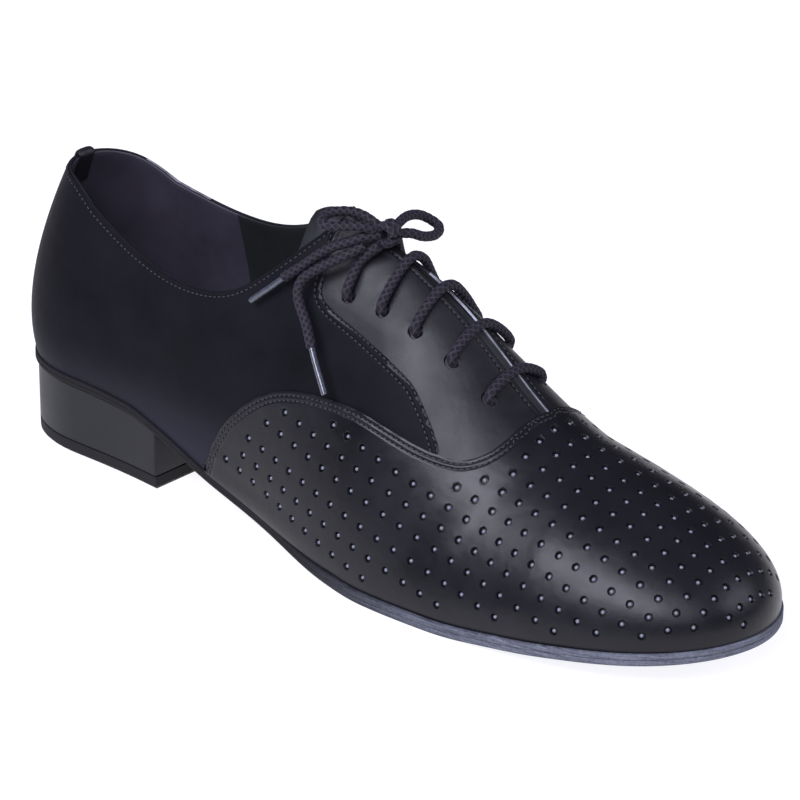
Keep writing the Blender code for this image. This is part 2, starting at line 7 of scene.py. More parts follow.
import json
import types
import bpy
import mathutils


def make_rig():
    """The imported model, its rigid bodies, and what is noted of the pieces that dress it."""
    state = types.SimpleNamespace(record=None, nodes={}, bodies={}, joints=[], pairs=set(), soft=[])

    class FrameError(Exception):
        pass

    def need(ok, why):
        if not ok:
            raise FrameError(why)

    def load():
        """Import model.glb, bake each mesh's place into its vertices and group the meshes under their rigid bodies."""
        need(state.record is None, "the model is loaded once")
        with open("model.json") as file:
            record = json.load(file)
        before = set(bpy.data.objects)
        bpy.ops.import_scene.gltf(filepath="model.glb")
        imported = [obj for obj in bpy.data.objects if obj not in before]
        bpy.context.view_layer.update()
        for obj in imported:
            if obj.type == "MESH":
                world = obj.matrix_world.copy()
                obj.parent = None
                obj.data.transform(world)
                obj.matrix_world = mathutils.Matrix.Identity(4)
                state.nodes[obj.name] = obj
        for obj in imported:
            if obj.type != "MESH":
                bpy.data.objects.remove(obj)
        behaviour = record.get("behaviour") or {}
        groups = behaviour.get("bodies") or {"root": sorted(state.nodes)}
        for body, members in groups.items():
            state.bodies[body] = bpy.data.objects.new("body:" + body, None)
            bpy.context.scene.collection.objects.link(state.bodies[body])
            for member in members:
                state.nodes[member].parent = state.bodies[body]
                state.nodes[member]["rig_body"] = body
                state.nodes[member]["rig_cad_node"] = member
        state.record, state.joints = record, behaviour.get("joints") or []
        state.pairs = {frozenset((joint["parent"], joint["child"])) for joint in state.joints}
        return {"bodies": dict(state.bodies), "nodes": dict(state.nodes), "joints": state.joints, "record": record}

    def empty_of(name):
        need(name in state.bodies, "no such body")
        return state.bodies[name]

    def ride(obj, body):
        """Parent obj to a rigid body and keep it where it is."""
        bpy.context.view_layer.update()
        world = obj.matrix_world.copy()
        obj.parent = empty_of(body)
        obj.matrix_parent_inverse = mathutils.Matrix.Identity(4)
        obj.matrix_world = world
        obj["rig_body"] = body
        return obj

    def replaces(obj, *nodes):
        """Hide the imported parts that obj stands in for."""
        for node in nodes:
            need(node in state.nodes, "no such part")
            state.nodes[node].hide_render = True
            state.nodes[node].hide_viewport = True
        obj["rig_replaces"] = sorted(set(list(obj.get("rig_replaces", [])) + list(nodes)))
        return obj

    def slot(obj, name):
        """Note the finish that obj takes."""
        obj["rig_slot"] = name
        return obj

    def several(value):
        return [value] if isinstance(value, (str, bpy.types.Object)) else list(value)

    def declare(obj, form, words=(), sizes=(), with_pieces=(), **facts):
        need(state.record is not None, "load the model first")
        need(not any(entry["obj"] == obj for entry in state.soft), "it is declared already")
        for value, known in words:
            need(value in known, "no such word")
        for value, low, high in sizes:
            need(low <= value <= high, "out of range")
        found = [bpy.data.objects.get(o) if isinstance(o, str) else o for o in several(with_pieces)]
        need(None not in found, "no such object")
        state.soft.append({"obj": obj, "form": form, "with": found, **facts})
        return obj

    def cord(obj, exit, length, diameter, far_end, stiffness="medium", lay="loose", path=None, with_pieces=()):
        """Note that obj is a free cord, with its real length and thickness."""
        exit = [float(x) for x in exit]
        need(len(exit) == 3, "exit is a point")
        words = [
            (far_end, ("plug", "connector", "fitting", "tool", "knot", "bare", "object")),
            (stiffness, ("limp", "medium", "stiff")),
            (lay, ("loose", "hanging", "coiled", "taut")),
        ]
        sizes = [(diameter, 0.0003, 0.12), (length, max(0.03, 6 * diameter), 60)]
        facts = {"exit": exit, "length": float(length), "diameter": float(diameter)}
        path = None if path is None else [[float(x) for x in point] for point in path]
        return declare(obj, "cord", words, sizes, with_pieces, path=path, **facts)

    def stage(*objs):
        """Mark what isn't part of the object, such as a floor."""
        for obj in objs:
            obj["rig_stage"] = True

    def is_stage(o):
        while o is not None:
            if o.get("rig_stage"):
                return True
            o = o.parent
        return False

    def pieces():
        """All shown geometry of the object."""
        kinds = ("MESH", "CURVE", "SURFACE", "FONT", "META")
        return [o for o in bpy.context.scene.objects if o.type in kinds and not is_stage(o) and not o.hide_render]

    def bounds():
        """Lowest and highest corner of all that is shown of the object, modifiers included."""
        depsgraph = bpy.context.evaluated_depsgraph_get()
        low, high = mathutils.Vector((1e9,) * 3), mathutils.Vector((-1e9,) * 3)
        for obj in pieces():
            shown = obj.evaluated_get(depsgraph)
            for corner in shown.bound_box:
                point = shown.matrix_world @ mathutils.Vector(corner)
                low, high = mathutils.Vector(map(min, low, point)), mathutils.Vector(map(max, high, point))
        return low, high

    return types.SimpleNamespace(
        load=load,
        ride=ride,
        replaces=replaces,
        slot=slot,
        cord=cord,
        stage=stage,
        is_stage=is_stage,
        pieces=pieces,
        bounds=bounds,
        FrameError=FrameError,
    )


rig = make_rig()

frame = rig.load()

import json
from collections import namedtuple
from functools import lru_cache
from math import cos, pi, radians, sin

import bpy
import numpy as np
from bpy.props import FloatProperty, FloatVectorProperty, PointerProperty
from bpy.types import Operator, Panel, PropertyGroup
from mathutils import Matrix, Vector
from mathutils.bvhtree import BVHTree
from mathutils.kdtree import KDTree

bl_info = {
    "name": "Ballroom Dance Shoe",
    "version": (1, 0, 0),
    "blender": (4, 5, 0),
    "location": "View3D > Sidebar > Shoe",
    "description": "Builds a laced leather dance shoe from its panels, seams, lace, sole and heel",
    "category": "Add Mesh",
}

MM = 0.001
CAD_BOX = [list(corner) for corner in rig.bounds()]

# The last's driving sizes
LAST_LENGTH = 285 * MM
BALL_WIDTH = 90 * MM
INSTEP_HEIGHT = 108 * MM
COLLAR_HEIGHT = 90 * MM
TOE_SPRING = 10 * MM
TOE_TIP_SHIFT = 0.5 * MM
HEEL_CENTRE = 0.115
TOE_CENTRE = 0.80
WALL = 1.9 * MM
VAMP_STEP = 0.9 * MM
THROAT = 0.71
FACING_GAP = 5.0 * MM
THROAT_GAP = 3.0 * MM
EYELET_PAIRS = 5
EYELET_FIRST = 0.488
EYELET_PITCH = 12.8 * MM
EYELET_INSET = 14 * MM
EYELET_INSET_LOW = 9.5 * MM
EYELET_HOLE = 4.6 * MM
WAIST_SOLE = 2.9 * MM
FORE_SOLE = 3.9 * MM
HEEL_HEIGHT = 24.5 * MM
HEEL_BREAST = 0.246
HEEL_INSET = 1.0 * MM
HEEL_TAPER = 0.5 * MM
TOP_PIECE = 4.0 * MM
INSOLE = 2.2 * MM
INSOLE_CLEAR = 0.5 * MM
TONGUE_WIDTH = 44 * MM
TONGUE_THICKNESS = 2.0 * MM
TONGUE_TOP = 0.405
TONGUE_FRONT = 0.755
TONGUE_ROUND = 17 * MM
TONGUE_SINK = 6 * MM
TONGUE_SUNK = 13 * MM
TONGUE_CROWN = 0.12
TONGUE_CLEAR = 1.4 * MM
LACE = 3.2 * MM
AGLET = 2.0 * MM
SEAT = 0.3 * MM

SIDES = (-1, 1)
LATERAL, MEDIAL = SIDES

# Sections of the last: shares of the ball width, the instep height and the half width.
Section = namedtuple("Section", "u centre half rise bulge top mouth crest outer inner drop")
SECTIONS = [Section(*row) for row in (
    (0.115, -0.006, 0.327, 0.150, 0.050, 0.930, 0.150, 0.000, 0.800, 0.800, 0.285),
    (0.200, 0.000, 0.335, 0.150, 0.046, 0.965, 0.150, 0.000, 0.800, 0.800, 0.275),
    (0.300, -0.022, 0.341, 0.150, 0.045, 0.995, 0.100, 0.000, 0.760, 0.760, 0.235),
    (0.400, -0.055, 0.342, 0.150, 0.045, 1.010, 0.030, 0.015, 0.620, 0.576, 0.150),
    (0.500, -0.062, 0.397, 0.145, 0.044, 0.916, 0.000, 0.050, 0.507, 0.285, 0.080),
    (0.600, -0.028, 0.467, 0.132, 0.043, 0.779, 0.000, 0.014, 0.535, 0.385, 0.030),
    (0.700, 0.015, 0.500, 0.105, 0.041, 0.552, 0.000, 0.004, 0.516, 0.468, 0.000),
    (0.800, 0.006, 0.462, 0.092, 0.040, 0.448, 0.000, 0.000, 0.670, 0.670, 0.000),
)]
End = namedtuple("End", "power rise bulge top mouth shoulder drop")
TOE_END = End(1.95, 0.142, 0.022, 0.448, 0.000, 0.605, 0.000)
BACK_END = End(2.20, 0.213, 0.070, 0.925, 0.215, 0.95, 0.228)
Underside = namedtuple("Underside", "u heel spring")
UNDERSIDE = [Underside(*row) for row in (
    (0.00, 1.00, 0.00), (0.10, 0.99, 0.00), (0.20, 0.93, 0.00),
    (0.25, 0.80, 0.00), (0.35, 0.46, 0.00), (0.45, 0.24, 0.00),
    (0.54, 0.06, 0.00), (0.60, 0.00, 0.00), (0.69, 0.00, 0.00),
    (0.78, 0.00, 0.23), (0.86, 0.00, 0.55), (1.00, 0.00, 1.00),
)]
Edge = namedtuple("Edge", "u reach fore")
EDGE = [Edge(*row) for row in (
    (0.00, 0.13, 0.0), (0.20, 0.18, 0.0), (0.42, 0.20, 0.0), (0.56, 0.50, 1.0),
    (0.70, 0.55, 1.0), (0.90, 0.50, 1.0), (1.00, 0.42, 1.0),
)]
# The side of the sole from the ground up: how far each row stands in, and its share of the thickness.
SOLE_SIDE = (
    (0.60 * MM, 0.00), (0.18 * MM, 0.07), (0.0, 0.18), (0.0, 0.46), (0.10 * MM, 0.50), (0.35 * MM, 0.53),
    (0.10 * MM, 0.56), (0.0, 0.60), (0.0, 0.90), (0.25 * MM, 1.00),
)
Collar = namedtuple("Collar", "u lateral medial")
COLLAR = [Collar(*row) for row in (
    (0.000, 1.000, 1.000), (0.050, 0.985, 0.965), (0.100, 0.940, 0.915),
    (0.150, 0.876, 0.868), (0.200, 0.826, 0.842), (0.250, 0.797, 0.852),
    (0.300, 0.800, 0.900), (0.350, 0.852, 0.978), (0.400, 0.985, 1.075),
    (0.440, 1.120, 1.160), (0.470, 1.250, 1.260),
)]
VampEdge = namedtuple("VampEdge", "u up")
VAMP_EDGE = [VampEdge(*row) for row in (
    (0.333, 0.000), (0.349, 0.190), (0.384, 0.340), (0.442, 0.446),
    (0.540, 0.518), (0.622, 0.548), (0.669, 0.600), (0.690, 0.670),
    (0.702, 0.770), (0.710, 1.000),
)]
# The facing's double row of stitches, from under the bow down to the vamp.
Row = namedtuple("Row", "u up")
FACING_ROW = [Row(*row) for row in (
    (0.446, 0.760), (0.452, 0.703), (0.475, 0.674), (0.515, 0.668), (0.559, 0.662),
    (0.591, 0.658), (0.620, 0.624), (0.641, 0.582), (0.645, 0.566),
)]
# Soft troughs and ridges of the leather: where they are, their turn from the foot's length in degrees,
# half length, half width and depth in millimetres. A negative depth is a ridge.
Crease = namedtuple("Crease", "side u up turn length width depth")
CREASES = [Crease(*row[:4], *(size * MM for size in row[4:])) for row in (
    (LATERAL, 0.745, 0.80, 80, 22, 5.0, 0.35),
    (LATERAL, 0.700, 0.42, 70, 16, 6.0, 0.30),
    (LATERAL, 0.665, 0.30, 62, 15, 5.0, 0.25),
    (LATERAL, 0.515, 0.80, 25, 12, 4.0, 0.30),
    (LATERAL, 0.560, 0.76, 35, 11, 4.0, -0.25),
    (LATERAL, 0.610, 0.74, 30, 12, 4.5, 0.25),
    (LATERAL, 0.470, 0.60, 40, 13, 5.0, 0.25),
    (LATERAL, 0.310, 0.16, 12, 22, 4.0, 0.40),
    (LATERAL, 0.240, 0.55, 20, 25, 9.0, 0.45),
    (LATERAL, 0.420, 0.12, 6, 30, 3.5, 0.30),
    (MEDIAL, 0.745, 0.80, 80, 22, 5.0, 0.35),
    (MEDIAL, 0.690, 0.40, 70, 16, 6.0, 0.35),
    (MEDIAL, 0.520, 0.78, 25, 12, 4.0, 0.30),
    (MEDIAL, 0.600, 0.74, 32, 12, 4.5, 0.25),
    (MEDIAL, 0.350, 0.35, 10, 28, 8.0, 0.50),
    (MEDIAL, 0.230, 0.55, 20, 25, 9.0, 0.45),
)]

# The lace's free parts, in millimetres, as in the solids.
KNOT_CENTRE = Vector((111.6, -6.0, 102.0)) * MM
KNOT_RADII = Vector((3.4, 4.6, 3.6)) * MM
LOOP_LATERAL = (
    (108.4, -8.6, 105.2), (105.0, -9.2, 106.6), (101.2, -10.6, 107.4), (97.6, -13.4, 107.4),
    (95.4, -16.8, 106.4), (97.0, -19.4, 105.2), (100.6, -18.4, 104.8), (104.0, -15.4, 105.0),
    (106.6, -13.2, 105.0),
)
LOOP_MEDIAL = (
    (110.7, -1.2, 103.0), (108.8, 5.6, 103.3), (108.4, 11.6, 102.0), (109.4, 15.8, 99.6),
    (111.8, 17.2, 97.6), (114.0, 14.2, 96.8), (114.9, 9.4, 97.4), (115.0, 5.0, 98.9),
    (114.8, 1.2, 100.8),
)
END_UPPER = (
    (108.9, -9.5, 101.6), (106.6, -12.4, 101.2), (103.6, -15.0, 99.6), (100.4, -16.8, 98.0),
    (97.4, -18.2, 96.0), (94.2, -19.9, 93.2), (91.2, -21.5, 90.3), (88.2, -22.9, 87.7), (85.8, -23.9, 85.6),
)
AGLET_UPPER = ((85.5, -24.0, 85.3), (81.0, -25.6, 81.0), (78.0, -26.5, 78.3), (75.0, -27.3, 75.5))
END_LOWER = (
    (103.8, -17.4, 95.6), (101.4, -19.0, 93.9), (98.6, -20.7, 92.0), (95.6, -22.4, 89.6),
    (93.0, -24.2, 86.6), (92.6, -25.4, 83.4), (94.2, -26.4, 80.0), (97.0, -27.4, 76.8),
    (100.0, -28.8, 73.2), (102.6, -30.2, 69.8),
)
AGLET_LOWER = ((102.9, -30.3, 69.4), (106.4, -32.2, 65.4), (109.6, -33.7, 61.8), (112.6, -35.0, 58.2))

# Spacings of the points that lines, seams and panels are laid out by
CURVE_STEP = 0.5 * MM
LINE_STEP = 0.3 * MM
EDGE_STEP = 0.6 * MM
SEAM_STEP = 1.0 * MM
WALK_STEP = 0.45 * MM
BACK_COLUMNS = 40
TOE_COLUMNS = 60
VAMP_ROWS = 60

# Rows of stitches, in millimetres from the vamp's edge, the facing's line and the topline
VAMP_SEAMS = (1.3, 2.9)
FACING_SEAMS = (-1.0, 1.0)
TOPLINE_SEAM = 1.2
# The distance that stands for a place away from a seam, in millimetres
FAR = 99.0
# How far the vamp's cut edge is rounded, and the lining under the vamp and in its holes; the domes in the holes are
# paler than that lining, with a painted glint
VAMP_FOLD = 0.45 * MM
DOME = Vector((1.2, 1.2, 1.0)) * MM
DOME_DEPTH = 0.76 * MM
LINING_START = 0.722
LINING_CLEAR = 0.08 * MM

# The strip down the back: columns each side, how proud it is, its leather, its low end and its turned part
STAY_COLUMNS = 4
STAY_LIFT = 0.75 * MM
STAY_LEATHER = 0.6 * MM
STAY_LOW = 0.30
STAY_TURNED = 0.14

# A stitch as shares of the pitch and the thread, and a needle's prick, a dark bead of painted shade
STITCH = Vector((0.72, 1.0, 0.8))
PRICK = Vector((0.5, 0.62, 0.14)) * MM

# The vamp's holes: the line that their rows start on, the rows' slope there, and the bare margins
HOLE_START = 194.8 * MM
HOLE_CREST = 1.5 * MM
HOLE_SLOPE = -0.23
HOLE_BALL = 150 * MM
SEAM_MARGIN = 6.2 * MM
SOLE_MARGIN = 4.6 * MM
ROWS_BELOW = 4
ROW_REACH = 130 * MM
DRILL = 1.8 * MM
DRILL_LOW, DRILL_HIGH = 0.54, 1.18

# Points round the quarters' wall, and where its two linings meet
OUTER_ROWS = 58
RIM_ROWS = 6
INNER_ROWS = 30
LINING_SEAM = 0.20

# The lace's braid
BRAID_SIDES = 24
BRAID_STRANDS = 4
BRAID_RING = 0.24 * MM
BRAID_PICK = 2.2 * MM
BRAID_DEPTH = 0.17

# Camera
CAMERA_AZIMUTH = 40.6
CAMERA_ELEVATION = 24.7
CAMERA_ROLL = 1.3
CAMERA_DISTANCE = 1446 * MM
CAMERA_TARGET = Vector((110.8, 3.93, 40.0)) * MM
CAMERA_LENS = 210.2
CAMERA_SHIFT = (-3.66 / 800, 8.9 / 800)


def linear(code, alpha=1.0):
    """An sRGB hex colour as Blender's linear values."""
    parts = [int(code[i:i + 2], 16) / 255 for i in (1, 3, 5)]
    return tuple(c / 12.92 if c <= 0.04045 else ((c + 0.055) / 1.055) ** 2.4 for c in parts) + (alpha,)


def spread(start, end, count):
    return [start + (end - start) * i / count for i in range(count + 1)]


def smooth_curve(xs, ys):
    """A natural cubic spline through the points, as a function."""
    xs, ys = np.array(xs, float), np.array(ys, float)
    gap = np.diff(xs)
    last = len(xs) - 1
    matrix, right = np.eye(len(xs)), np.zeros(len(xs))
    for i in range(1, last):
        matrix[i, i - 1:i + 2] = gap[i - 1], 2 * (gap[i - 1] + gap[i]), gap[i]
        right[i] = 6 * ((ys[i + 1] - ys[i]) / gap[i] - (ys[i] - ys[i - 1]) / gap[i - 1])
    bend = np.linalg.solve(matrix, right)

    def value(x):
        i = int(np.clip(np.searchsorted(xs, x) - 1, 0, last - 1))
        before, after = x - xs[i], xs[i + 1] - x
        cubic = (bend[i] * after**3 + bend[i + 1] * before**3) / (6 * gap[i])
        left = (ys[i] / gap[i] - bend[i] * gap[i] / 6) * after
        return cubic + left + (ys[i + 1] / gap[i] - bend[i + 1] * gap[i] / 6) * before

    return value


def steady_curve(xs, ys):
    """A cubic curve through the points that never swings past them, as a function."""
    xs, ys = np.array(xs, float), np.array(ys, float)
    gap = np.diff(xs)
    secant = np.diff(ys) / gap
    slope = np.zeros(len(xs))
    slope[0], slope[-1] = secant[0], secant[-1]
    for i in range(1, len(xs) - 1):
        if secant[i - 1] * secant[i] > 0:
            first, second = 2 * gap[i] + gap[i - 1], gap[i] + 2 * gap[i - 1]
            slope[i] = (first + second) / (first / secant[i - 1] + second / secant[i])

    def value(x):
        i = int(np.clip(np.searchsorted(xs, x) - 1, 0, len(xs) - 2))
        t = min(max((x - xs[i]) / gap[i], 0.0), 1.0)
        start = ys[i] * (1 + 2 * t) * (1 - t) ** 2 + slope[i] * gap[i] * t * (1 - t) ** 2
        return start + ys[i + 1] * t * t * (3 - 2 * t) - slope[i + 1] * gap[i] * t * t * (1 - t)

    return value


def listed(table, name):
    return [getattr(row, name) for row in table]


def from_sections(name, size, curve=smooth_curve):
    return curve(listed(SECTIONS, "u"), [size * value for value in listed(SECTIONS, name)])


centre_at = from_sections("centre", BALL_WIDTH)
half_at = from_sections("half", BALL_WIDTH)
rise_at = from_sections("rise", INSTEP_HEIGHT)
bulge_at = from_sections("bulge", BALL_WIDTH)
top_at = from_sections("top", INSTEP_HEIGHT)
mouth_at = from_sections("mouth", BALL_WIDTH, steady_curve)
crest_at = from_sections("crest", BALL_WIDTH, steady_curve)
shoulder_at = {LATERAL: from_sections("outer", 1.0), MEDIAL: from_sections("inner", 1.0)}
drop_at = from_sections("drop", INSTEP_HEIGHT, steady_curve)
underside_at = steady_curve(
    listed(UNDERSIDE, "u"), [row.heel * HEEL_HEIGHT + row.spring * TOE_SPRING for row in UNDERSIDE]
)
sole_thickness_at = steady_curve(
    listed(EDGE, "u"), [WAIST_SOLE + row.fore * (FORE_SOLE - WAIST_SOLE) for row in EDGE]
)
reach_at = steady_curve(listed(EDGE, "u"), [row.reach * FORE_SOLE for row in EDGE])
collar_at = {
    LATERAL: smooth_curve(listed(COLLAR, "u"), [COLLAR_HEIGHT * row.lateral for row in COLLAR]),
    MEDIAL: smooth_curve(listed(COLLAR, "u"), [COLLAR_HEIGHT * row.medial for row in COLLAR]),
}
vamp_edge_at = steady_curve(listed(VAMP_EDGE, "u"), listed(VAMP_EDGE, "up"))
facing_gap_at = steady_curve((EYELET_FIRST, THROAT), (FACING_GAP, THROAT_GAP))
eyelet_inset_at = steady_curve((EYELET_FIRST, THROAT), (EYELET_INSET, EYELET_INSET_LOW))


def slope(curve, u, step=0.001):
    """How fast a size grows along the last, just behind u, as metres per metre."""
    return float(curve(u) - curve(u - step)) / (step * LAST_LENGTH)


def feather_at(u):
    """Height of the feather edge."""
    return underside_at(u) + sole_thickness_at(u) + SEAT


class Column:
    """A curve of the last in a vertical plane: zone is 'back', 'mid' or 'toe', place its angle or share."""

    def __init__(self, zone, place, side):
        u = {"back": HEEL_CENTRE, "toe": TOE_CENTRE}.get(zone, place)
        self.zone, self.side = zone, side
        self.crest = side * crest_at(u)
        self.base = Vector(((u - HEEL_CENTRE) * LAST_LENGTH, float(centre_at(u)), 0))
        half = half_at(u)
        values = [rise_at(u), bulge_at(u), top_at(u), mouth_at(u), shoulder_at[side](u) * half, drop_at(u)]
        reach, self.out, weight, lean = half, Vector((0, side, 0)), 0.0, 0.0
        if zone != "mid":
            end = TOE_END if zone == "toe" else BACK_END
            length = (1 - TOE_CENTRE if zone == "toe" else HEEL_CENTRE) * LAST_LENGTH
            forward = 1 if zone == "toe" else -1
            along, across = cos(place), sin(place)
            reach = ((along / length) ** end.power + (across / half) ** end.power) ** (-1 / end.power)
            arm = Vector((forward * along * reach, side * across * reach, 0))
            weight = along**2
            shoulder = end.shoulder * length
            if zone == "toe":
                share = arm.x / length
                fade = share * (1 - share) ** 2 * length
                arm.y *= 1 + slope(half_at, TOE_CENTRE) * fade / float(half)
                arm.y += slope(centre_at, TOE_CENTRE) * fade + TOE_TIP_SHIFT * share
                lean = slope(top_at, TOE_CENTRE) * arm.x / arm.length
                shoulder = end.shoulder * arm.length
                values[4] = shoulder_at[side](TOE_CENTRE) * arm.length
            reach, self.out = arm.length, arm.normalized()
            u += arm.x / LAST_LENGTH
            ends = [
                end.rise * INSTEP_HEIGHT, end.bulge * BALL_WIDTH, end.top * INSTEP_HEIGHT,
                end.mouth * BALL_WIDTH, shoulder, end.drop * INSTEP_HEIGHT,
            ]
            values = [a + weight * (b - a) for a, b in zip(values, ends)]
        rise, bulge, top, mouth, shoulder, drop = values
        self.u = u
        self.feather = feather_at(u)
        self.reach = reach
        self.curve = np.array((
            (reach, self.feather),
            (reach + bulge, self.feather + rise),
            (shoulder, top - drop + lean * shoulder),
            (mouth + self.crest, top),
        ))
        self.top = self.up_to_top()

    def at(self, t):
        a, b, c, d = self.curve
        t = np.asarray(t, float)[..., None]
        s = 1 - t
        return s**3 * a + 3 * t * s * s * b + 3 * t * t * s * c + t**3 * d

    def along(self, t):
        """The curve's direction and its speed."""
        a, b, c, d = self.curve
        t = np.asarray(t, float)[..., None]
        s = 1 - t
        way = 3 * (s * s * (b - a) + 2 * s * t * (c - b) + t * t * (d - c))
        speed = np.linalg.norm(way, axis=-1, keepdims=True)
        return way / speed, speed[..., 0]

    def line(self, ts, offset=0.0, ahead=0.0):
        """Points over the column at these shares, off its surface and further along it."""
        way, _ = self.along(ts)
        normal = np.stack([way[..., 1], -way[..., 0]], axis=-1)
        level = np.clip(np.asarray(ts, float) / 0.06, 0, 1)[..., None]
        normal = normal * level + np.array((1.0, 0.0)) * (1 - level)
        if self.zone == "toe":
            crown = np.clip((1 - np.asarray(ts, float)) / 0.06, 0, 1)[..., None]
            normal = normal * crown + np.array((0.0, 1.0)) * (1 - crown)
        normal /= np.linalg.norm(normal, axis=-1, keepdims=True)
        shift = np.asarray(offset, float)[..., None] * normal + np.asarray(ahead, float)[..., None] * way
        flat = self.at(ts) + shift
        out, base = np.array(self.out), np.array(self.base)
        return base + flat[..., :1] * out + flat[..., 1:] * np.array((0.0, 0.0, 1.0))

    def point(self, t, offset=0.0):
        return Vector(self.line(t, offset))

    def plan(self, grown, height):
        """A point level with the ground, grown out from the feather edge."""
        return self.base + self.out * float(self.reach + grown) + Vector((0, 0, float(height)))

    def first(self, test):
        """The smallest share of the way up where the test holds, or 1."""
        low, high = 0.3, 1.0
        if not test(self.at(high)):
            return high
        for _ in range(26):
            middle = (low + high) / 2
            if test(self.at(middle)):
                high = middle
            else:
                low = middle
        return high

    def up_to_top(self):
        """Where the quarters end on this column: at the collar or the facing's edge."""
        if self.zone == "toe":
            return 1.0
        facing = self.first(lambda q: q[0] <= self.crest + facing_gap_at(self.u) / 2)
        if self.u > COLLAR[-1].u:
            return facing
        height = collar_at[self.side](self.u)
        return min(facing, self.first(lambda q: q[1] >= height))

    def vamp_top(self):
        if self.zone == "toe" or self.u >= THROAT:
            return 1.0
        if self.zone == "back" or self.u <= VAMP_EDGE[0].u:
            return 0.0
        return min(vamp_edge_at(self.u), 1.0)


def walked(points):
    """How far along a line each of its points is."""
    return np.concatenate([[0], np.cumsum(np.linalg.norm(np.diff(points, axis=0), axis=1))])


def places_at(stops, walk, points):
    """The places at these distances along a line whose points lie at the distances in walk."""
    return np.stack([np.interp(stops, walk, points[:, axis]) for axis in range(3)], axis=-1)


def mid_columns(side, start, end, pitch):
    """Columns between two shares of the length, a pitch apart at most along the feather and the vamp."""
    fine = np.linspace(start, end, int((end - start) * LAST_LENGTH / CURVE_STEP))
    ring = [Column("mid", u, side) for u in fine]
    edge = np.array([column.line(min(column.vamp_top(), column.top)) for column in ring])
    steps = np.maximum(np.diff(walked(edge)), np.diff(fine) * LAST_LENGTH)
    walk = np.concatenate([[0], np.cumsum(steps)])
    count = round(walk[-1] / pitch)
    return [Column("mid", float(np.interp(at, walk, fine)), side) for at in spread(0, walk[-1], count)]


def toe_columns(side, count):
    """Columns round the toe, after its centre, to the tip."""
    return [Column("toe", pi / 2 * (1 - i / count), side) for i in range(1, count + 1)]


def back_columns(side, count):
    """Columns round the back, from its middle line to before the heel's centre."""
    return [Column("back", pi / 2 * i / count, side) for i in range(count)]


def forepart_columns(start, pitch, toe_count):
    """The forepart's columns from the outer side round the toe to the inner side."""
    lateral, medial = (
        mid_columns(side, start, TOE_CENTRE, pitch) + toe_columns(side, toe_count) for side in SIDES
    )
    return lateral + medial[-2::-1]


def pick(*objects):
    """Selects these objects alone, the first one active."""
    bpy.ops.object.select_all(action="DESELECT")
    for item in objects:
        item.select_set(True)
    bpy.context.view_layer.objects.active = objects[0]
    return objects[0]


def in_edit(item, *steps):
    """Runs the steps on all of the piece in edit mode."""
    pick(item)
    bpy.ops.object.mode_set(mode="EDIT")
    bpy.ops.mesh.select_all(action="SELECT")
    for step in steps:
        step()
    bpy.ops.object.mode_set(mode="OBJECT")


def merge(item, distance=0.004 * MM):
    in_edit(item, lambda: bpy.ops.mesh.remove_doubles(threshold=distance))


def face_out(item):
    in_edit(item, lambda: bpy.ops.mesh.normals_make_consistent(inside=False))


def close(item):
    """Fills the piece's open ends with a face."""
    in_edit(item, lambda: bpy.ops.mesh.select_all(action="DESELECT"),
            lambda: bpy.ops.mesh.select_non_manifold(), lambda: bpy.ops.mesh.edge_face_add())


def apply_modifiers(item):
    pick(item)
    for modifier in list(item.modifiers):
        bpy.ops.object.modifier_apply(modifier=modifier.name)


def thicken(item, thickness, rim=0):
    """Gives a sheet its wall inwards. Its rim takes the material that is rim slots on."""
    wall = item.modifiers.new("wall", "SOLIDIFY")
    wall.thickness, wall.offset, wall.material_offset_rim = thickness, -1, rim
    apply_modifiers(item)


def shade(item, angle):
    pick(item)
    bpy.ops.object.shade_smooth_by_angle(angle=radians(angle))


def sheet(name, lines, panels=None):
    """A grid laid over lines[i][j]. panels gives the material of each of its faces, by column and row."""
    lines = np.asarray(lines)
    across, up = lines.shape[:2]
    bpy.ops.object.select_all(action="DESELECT")
    bpy.ops.mesh.primitive_grid_add(x_subdivisions=across - 1, y_subdivisions=up - 1, size=1)
    made = bpy.context.object
    made.name = made.data.name = name
    corners = np.empty(len(made.data.vertices) * 3)
    made.data.vertices.foreach_get("co", corners)
    corners = corners.reshape(-1, 3)
    if len(corners) != across * up:
        raise ValueError(f"{name}: the grid has {len(corners)} corners and not {across} by {up}")
    i = np.rint((corners[:, 0] + 0.5) * (across - 1)).astype(int)
    j = np.rint((corners[:, 1] + 0.5) * (up - 1)).astype(int)
    made.data.vertices.foreach_set("co", lines[i, j].ravel())
    if panels is not None:
        faces = np.array([tuple(face.vertices) for face in made.data.polygons])
        finishes = np.asarray(panels, np.int32)[i[faces].min(axis=1), j[faces].min(axis=1)]
        made.data.polygons.foreach_set("material_index", finishes)
    made.data.update()
    return made, i, j


def give(item, *finishes):
    """The piece's materials, in the order of its slots."""
    for finish in finishes:
        item.data.materials.append(finish)


def settle(item, slot, *nodes, finish=None, angle=None):
    """Puts a finished piece on the shoe: its looks, body and slot, and the solids that it stands for."""
    if finish:
        give(item, finish)
    if angle:
        shade(item, angle)
    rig.ride(item, "root")
    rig.slot(item, slot)
    if nodes:
        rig.replaces(item, *nodes)


